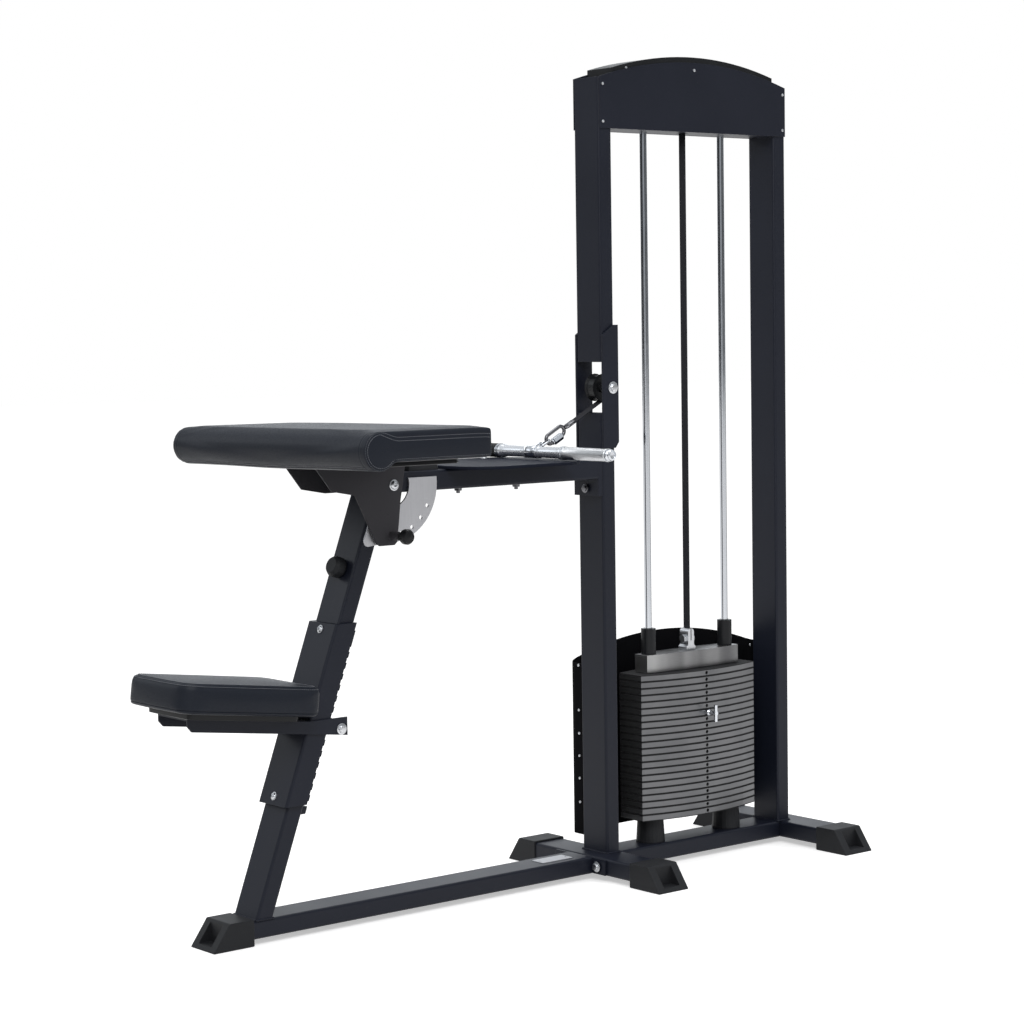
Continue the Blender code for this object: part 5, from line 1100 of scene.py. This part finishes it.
half_bar = [(0.0148, 0.020), (0.0160, 0.022), (0.0160, 0.030), (0.0148, 0.033), (0.0146, 0.040),
            (0.0150, 0.104), (0.0158, 0.110), (0.0178, 0.119), (0.0182, 0.122), (0.0182, 0.1285),
            (0.0150, 0.1295), (0.0130, 0.1300), (0.0130, 0.3020), (0.0150, 0.3026), (0.0158, 0.3036),
            (0.0158, 0.3080), (0.0140, 0.3100), (0.0140, 0.3130), (0.0128, 0.3160), (0.0096, 0.3176),
            (0.0090, 0.3140), (0.0004, 0.3130)]
bar = piece("chromed_bar", [on_bar([(0.0122, 0.0185)] + half_bar),
                            on_bar([(r, -y) for r, y in reversed(half_bar)] + [(0.0122, -0.0185)]),
                            on_bar([(0.0120, -0.0200), (0.0121, 0.0), (0.0120, 0.0200)])],
            "bar", SATIN_CHROME, 40)
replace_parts(bar, "bar")


def ribs(first, last, pitch, radius, depth):
    """A profile of round ribs, like those of a rubber handle."""
    levels = []
    for low in spread(first, last, round((last - first) / pitch)):
        levels += [(radius - depth, low), (radius, low + pitch * 0.25), (radius, low + pitch * 0.70)]
    return levels


near_grip = [(0.0134, -0.3016), (0.0165, -0.3014), (0.0172, -0.3000), (0.0172, -0.2950),
             (0.0166, -0.2940), (0.0166, -0.1390), (0.0172, -0.1380), (0.0172, -0.1330),
             (0.0165, -0.1310), (0.0134, -0.1306)]
far_grip = [(0.0134, 0.1306), (0.0176, 0.1310), (0.0184, 0.1330)]
far_grip += ribs(0.136, 0.296, 0.008, 0.0188, 0.0014)
far_grip += [(0.0186, 0.2975), (0.0176, 0.3010), (0.0134, 0.3014)]
near = piece("near_grip", [on_bar(near_grip)], "bar", KNURL)
# The far grip's dark rubber is partly painted shade from the arm pad above it.
far = piece("far_grip", [on_bar(far_grip)], "bar", RUBBER, 50)
rings = [on_bar([(0.0186, y), (0.0192, y + 0.0004), (0.0192, y + 0.0022), (0.0186, y + 0.0026)])
         for y in (0.1315, 0.1368)]
piece("grip_rings", rings, "bar", CHROME)
near_node = "bar_grip_right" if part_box("bar_grip_right")[0][1] < 0 else "bar_grip_left"
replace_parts(near, near_node)
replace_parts(far, "bar_grip_left" if near_node == "bar_grip_right" else "bar_grip_right")
print("near grip stands for", near_node)

# %% [markdown]
# The machine is bolted together, and its bright heads are what catches the eye on a black frame.
# Four kinds are used: a domed head with a hex socket, a hex head on a washer, a nut with the bolt's
# end in it, and small screws. Each is turned from a profile, in shares of its radius. The socket is
# a six-sided ring that goes back down.

# %% Fasteners
def domed_head(radius):
    """A button head with a hex socket, on a washer."""
    r = radius
    return turned([(r * 1.25, -0.001), (r * 1.25, 0.0012), (r * 1.18, 0.0016), (r, 0.0017), (r, 0.0022),
                   (r * 0.93, r * 0.38), (r * 0.75, r * 0.56), (r * 0.52, r * 0.64),
                   (r * 0.40, r * 0.64, 6), (r * 0.38, r * 0.26, 6), (r * 0.10, r * 0.20, 6)])


def hex_head(radius):
    """A hex head on a round washer, with its corners chamfered."""
    r = radius
    return turned([(r * 1.32, -0.001), (r * 1.32, 0.0014), (r * 1.25, 0.0018), (r * 0.98, 0.0019),
                   (r * 0.88, 0.0021, 6), (r * 0.88, r * 0.62, 6), (r * 0.80, r * 0.74),
                   (r * 0.30, r * 0.78), (r * 0.05, r * 0.78)])


def bolt_end(radius):
    """A nut on a washer, with the bolt's end standing out of it."""
    r = radius
    return turned([(r * 1.15, -0.001), (r * 1.15, 0.0014), (r * 0.95, 0.0018, 6), (r * 0.95, 0.0085, 6),
                   (r * 0.80, 0.0093), (r * 0.52, 0.0094), (r * 0.52, 0.0145), (r * 0.42, 0.0155),
                   (r * 0.05, 0.0155)])


def small_screw(radius):
    """A pan head with a cross recess, seen as a small hollow."""
    r = radius
    return turned([(r, -0.0006), (r, r * 0.25), (r * 0.85, r * 0.52), (r * 0.55, r * 0.66),
                   (r * 0.34, r * 0.66), (r * 0.20, r * 0.34), (r * 0.05, r * 0.30)], 16)


def fasteners(name, kind, radius, places, direction, body="frame", material=None):
    """A row of one kind of fastener that all face the same way."""
    heads = [(kind(radius), facing(place, direction)) for place in places]
    return piece(name, heads, body, material or ZINC)


print("four kinds of fastener are ready")

# %% Screws of the header and the shroud
near_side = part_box("header_plate_right")[0][1]
HEADER_SCREWS = [(0.010, 2.131), (0.010, 2.032), (0.686, 2.131), (0.685, 2.032), (0.345, 2.182)]
for name, y, way in (("header_screws_near", near_side, CAMERA_SIDE),
                     ("header_screws_far", -near_side, FAR_SIDE)):
    fasteners(name, small_screw, 0.0042, [at(x, y, z) for x, z in HEADER_SCREWS], way)
shroud_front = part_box("shroud")[0][0]
SHROUD_SCREWS_Z = (0.566, 0.443, 0.379, 0.317, 0.255, 0.189)
flange = [Vector((shroud_front, 0.061, z)) for z in SHROUD_SCREWS_Z]
fasteners("shroud_screws", small_screw, 0.0040, flange, SEAT_SIDE)
fasteners("shroud_corner_screw", small_screw, 0.0042, [at(0.6878, 0.0952, 0.5563)], (-1, -1, 0))
print("header and shroud screws placed, near side at Y", round(near_side, 4))

# %% Bolts of the post, the beam and the floor
plate_front, joint_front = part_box("beam_end_plate")[0][0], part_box("joint_plate")[0][0]
beam_under, SLEEVE_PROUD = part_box("upper_beam")[0][2], 0.0135
fasteners("end_plate_bolt", hex_head, 0.0090, [Vector((plate_front, 0, 1.054))], SEAT_SIDE,
          material=DARK_STEEL)
fasteners("sleeve_bolts", domed_head, 0.0085, [on_post(z, SLEEVE_PROUD) for z in (0.345, 0.745)],
          POST_OUT)
fasteners("joint_bolts", hex_head, 0.0105, [Vector((joint_front, y, 0.0385)) for y in (-0.073, 0.073)],
          SEAT_SIDE)
fasteners("tray_bolts", bolt_end, 0.0098, [at(x, 0, beam_under) for x in (-0.457, -0.263)], DOWN,
          material=DARK_STEEL)
print("frame bolts placed, those of the tray under Z", round(beam_under, 4))

# %% Bolts that joints turn on
def centre_of(node):
    """The middle of a node's box, on the machine's middle plane."""
    low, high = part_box(node)
    return Vector(((low[0] + high[0]) / 2, 0, (low[2] + high[2]) / 2))


def two_heads(kind, radius, node, face):
    """A head on each side of a node that turns or carries, at a distance from the middle plane."""
    return [(kind(radius), facing(centre_of(node) + Vector((0, side * face, 0)), (0, side, 0)))
            for side in (-1, 1)]


piece("mid_axle_heads", two_heads(hex_head, 0.0122, "mid_axle", 0.0564), "frame", ZINC)
piece("seat_roller_heads", two_heads(hex_head, 0.0108, "seat_roller", 0.0664), "seat", ZINC)
PIVOT_FACE, PIVOT_RADIUS = 0.0672, 0.006
shank = turned([(0.0005, -PIVOT_FACE), (PIVOT_RADIUS, -PIVOT_FACE), (PIVOT_RADIUS, PIVOT_FACE),
                (0.0005, PIVOT_FACE)])
pivot = two_heads(domed_head, 0.0112, "pivot_bolt", PIVOT_FACE)
pivot += [(shank, facing(centre_of("pivot_bolt"), FAR_SIDE))]
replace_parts(piece("pivot_bolt_set", pivot, "frame", ZINC), "pivot_bolt")
tray_top, cover_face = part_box("bar_tray")[1][2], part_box("header_cover")[0][1]
fasteners("tray_screw", domed_head, 0.0085, [at(-0.247, 0.153, tray_top - 0.0004)], UP)
fasteners("cover_screw", small_screw, 0.0040, [at(0.098, cover_face, 2.177)], CAMERA_SIDE)
print("joint bolts, tray screw and cover screw placed")

# %% [markdown]
# The strap is a flat woven belt. It could stay a plain band, but a belt has soft edges and a
# slight crown, so a small rounded section is swept along the same path: over the two header
# pulleys, down to the middle one, and out to the bar, where it is crimped around an eye.

# %% Straps
STRAP_HALF, STRAP_THICK, STACK_TRAVEL = 0.0125, 0.0026, 1.30
BELT_SECTION = ((-1, -0.35), (-0.97, -0.8), (-0.90, -1), (-0.4, -0.94), (0, -1), (0.4, -0.94), (0.90, -1),
                (0.97, -0.8), (1, -0.35), (1, 0.35), (0.97, 0.8), (0.90, 1), (0.4, 0.94), (0, 1),
                (-0.4, 0.94), (-0.90, 1), (-0.97, 0.8), (-1, 0.35))


def belt(path, half=STRAP_HALF, thick=STRAP_THICK):
    """A belt with rounded edges along a path on the machine's middle plane."""
    section = [(y * half, lift * thick / 2) for y, lift in BELT_SECTION]
    rings = []
    for i, place in enumerate(path):
        along = (path[min(i + 1, len(path) - 1)] - path[max(i - 1, 0)]).normalized()
        out = along.cross(Vector(FAR_SIDE))
        rings.append([place + Vector((0, y, 0)) + out * lift for y, lift in section])
    return loft(rings), Matrix()


def around(node, radius, start, end, steps=14):
    """An arc about a pulley's middle, from one angle to another."""
    turns = [turn_to(angle) for angle in spread(start, end + (end - start) / steps, steps + 1)]
    return [centre_of(node) + radius * Vector((along, 0, up)) for along, up in turns]


BELT_LIFT, STACK_RUN_RINGS = 0.0017, 8
HEADER_WRAP, MID_WRAP = 0.0425 + BELT_LIFT, 0.0325 + BELT_LIFT
over = around("pulley_rear", HEADER_WRAP, 0, 90) + around("pulley_front", HEADER_WRAP, 90, 180)
over += around("pulley_mid", MID_WRAP, 0, -61)
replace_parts(piece("belt_over_pulleys", [belt(over)], "frame", STRAP, 60), "strap_upper")
low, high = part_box("strap_lift")
run_length = high[2] - low[2]
heights = spread(0, STACK_RUN_RINGS / (STACK_RUN_RINGS - 1), STACK_RUN_RINGS)
run_path = [Vector(((low[0] + high[0]) / 2, 0, low[2] + run_length * height)) for height in heights]
run_belt = piece("belt_to_stack", [belt(run_path)], "frame", STRAP, 60)
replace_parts(run_belt, "strap_lift")
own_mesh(run_belt)

# %% Strap end
CRIMP_END, CRIMP_LONG, CRIMP_ROUND, CRIMP_HALF, CRIMP_THICK = 0.1502, 0.0280, 0.0012, 0.0090, 0.0045
CRIMP_EYE, CRIMP_WIRE = 0.0105, 0.0030
CRIMP_SECTION = ((-1, -0.8), (-0.7, -1), (0.7, -1), (1, -0.8), (1, 0.8), (0.7, 1), (-0.7, 1), (-1, 0.8))
tail = [on_tail(step) for step in spread(0.0015, CRIMP_END - 0.006, 10)]
crimp = []
for before, grow in ((CRIMP_LONG, 0.80), (CRIMP_LONG - CRIMP_ROUND, 1), (CRIMP_ROUND, 1), (0, 0.80)):
    crimp.append([on_tail(CRIMP_END - before, side * CRIMP_THICK * grow, y * CRIMP_HALF * grow)
                  for side, y in CRIMP_SECTION])
eye_ring = [on_tail(CRIMP_END + CRIMP_EYE * math.cos(angle), 0, CRIMP_EYE * math.sin(angle))
            for angle in spread(0, math.tau, 28)]
tail_piece = piece("belt_to_bar", [belt(tail)], "bar_hang", STRAP, 60)
piece("belt_crimp", [(loft(crimp), Matrix()), (swept(eye_ring, CRIMP_WIRE, TAIL_UP, True), Matrix())],
      "bar_hang", DARK_STEEL, 50)
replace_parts(tail_piece, "strap_tail")
print("strap end crimped at", CRIMP_END)

# %% [markdown]
# Two finer things finish the steel. Each tube that stands on another is welded around its foot,
# under the coat, and the bead is a small rope of ripples. And a bare metal plate is riveted to the
# bench beam beside the upright, where such machines carry a plate.

# %% Weld beads
BEAD_RADIUS, BEAD_STEP, BEAD_RIPPLE, BEAD_LIFT, POST_DEPTH = 0.0028, 0.0022, 0.16, 0.0004, 0.046


def bead(low_x, high_x, half_y, z, radius=BEAD_RADIUS):
    """A rippled bead around the foot of a tube."""
    corners = [Vector((x, y, z)) for x, y in ((low_x, -half_y), (high_x, -half_y), (high_x, half_y),
                                              (low_x, half_y))]
    path = []
    for first, second in zip(corners, corners[1:] + corners[:1]):
        steps = round((second - first).length / BEAD_STEP)
        path += [first.lerp(second, share) for share in spread(0, 1, steps)]
    rings = []
    for i, place in enumerate(path):
        along = (path[(i + 1) % len(path)] - path[i - 1]).normalized()
        side = along.cross(Vector(UP))
        size = radius * (1.0 + BEAD_RIPPLE * math.sin(i * 2.1))
        rings.append([place + size * (math.cos(angle) * Vector(UP) + math.sin(angle) * side)
                      for angle in spread(0, math.tau, 8)])
    return loft(rings, True), Matrix()


bench_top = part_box("bench_beam")[1][2]
beads = []
for node in ("upright_front_lower", "upright_rear"):
    low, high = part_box(node)
    beads.append(bead(low[0], high[0], high[1], low[2] + BEAD_LIFT))
foot_x, post_half = on_post(bench_top).x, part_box("post")[1][1]
beads.append(bead(foot_x, foot_x + POST_DEPTH / math.cos(POST_LEAN), post_half, bench_top + BEAD_LIFT))
piece("weld_beads", beads, "frame", FRAME, 60)
print("beads:", len(beads), "with the post's foot at X", round(foot_x, 4))

# %% Bare plate on the bench beam
BARE_PLATE = at(-0.1555, 0, bench_top)
BARE_HALF_LONG, BARE_HALF_WIDE, BARE_CORNER, BARE_THICK = 0.0525, 0.024, 0.004, 0.0014
plate_rings = []
for height, inset in ((-0.0003, 0), (0.0010, 0), (BARE_THICK, 0.0005), (BARE_THICK, 0.004),
                      (BARE_THICK, 0.012)):
    ring, radius = [], max(BARE_CORNER - inset, 0.001)
    for across, along, start in CORNERS:
        corner = BARE_PLATE + Vector((across * (BARE_HALF_LONG - inset - radius),
                                      along * (BARE_HALF_WIDE - inset - radius), height))
        ring += [corner + Vector((*turn_to(angle, radius), 0))
                 for angle in spread(start, start + 112.5, 5)]
    plate_rings.append(ring)
rivets = [(small_screw(0.0022), facing(at(x, 0, bench_top + BARE_THICK), UP)) for x in (-0.201, -0.110)]
piece("bare_plate", [(loft(plate_rings), Matrix())] + rivets, "frame", ROLLED)
print("bare plate on the bench beam at Z", round(bench_top, 4))

# %% [markdown]
# The arm cushion is screwed to two boards that lie beside its bracket. From the camera only their
# near edge shows, as a dark line below the cushion. It comes down on a rubber rest on the beam. All
# three are low blocks with cut corners, so one ring of points serves for them.

# %% Boards under the arm cushion
def cut_corners(low_x, high_x, low_y, high_y, z, cuts):
    """A rectangle at a height with cut corners: one cut for its low Y side, one for its high side."""
    way = 1 if high_y > low_y else -1
    low_cut, high_cut = cuts
    ring = [(low_x + low_cut, low_y), (high_x - low_cut, low_y), (high_x, low_y + way * low_cut),
            (high_x, high_y - way * high_cut), (high_x - high_cut, high_y), (low_x + high_cut, high_y),
            (low_x, high_y - way * high_cut), (low_x, low_y + way * low_cut)]
    return [Vector((x, y, z)) for i, (x, y) in enumerate(ring) if low_cut or i not in (2, 7)]


BOARD_LEVELS = ((-0.0135, 0.002), (-0.0120, 0), (-0.0010, 0), (0.0010, 0.001))
BOARD_INNER, BOARD_OUTER, BOARD_CUT = 0.1030, 0.330, 0.02
boards = []
for side in (-1, 1):
    board = [cut_corners(ROLL.x + 0.062 + inset, PAD_REAR - 0.022 - inset, side * (BOARD_INNER + inset),
                         side * (BOARD_OUTER - inset), PAD_BOTTOM + height, (0, BOARD_CUT))
             for height, inset in BOARD_LEVELS]
    boards.append((loft(board), PAD_LEAN))
piece("arm_boards", boards, "arm_rest", PLASTIC)
REST_LEVELS = ((-0.0004, 0), (0.0020, 0), (0.0150, 0.002), (0.0172, 0.004), (0.0178, 0.007))
REST_START, REST_END, REST_HALF, REST_CUT = at(-0.655, 0, 0).x, at(-0.548, 0, 0).x, 0.044, 0.008
beam_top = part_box("upper_beam")[1][2]
rest = [cut_corners(REST_START + inset, REST_END - inset, inset - REST_HALF, REST_HALF - inset,
                    beam_top + height, (REST_CUT, REST_CUT)) for height, inset in REST_LEVELS]
piece("pad_rest", [(loft(rest), Matrix())], "frame", RUBBER)
print("boards under the arm cushion:", len(boards), "and a rest on the beam at Z", round(beam_top, 4))
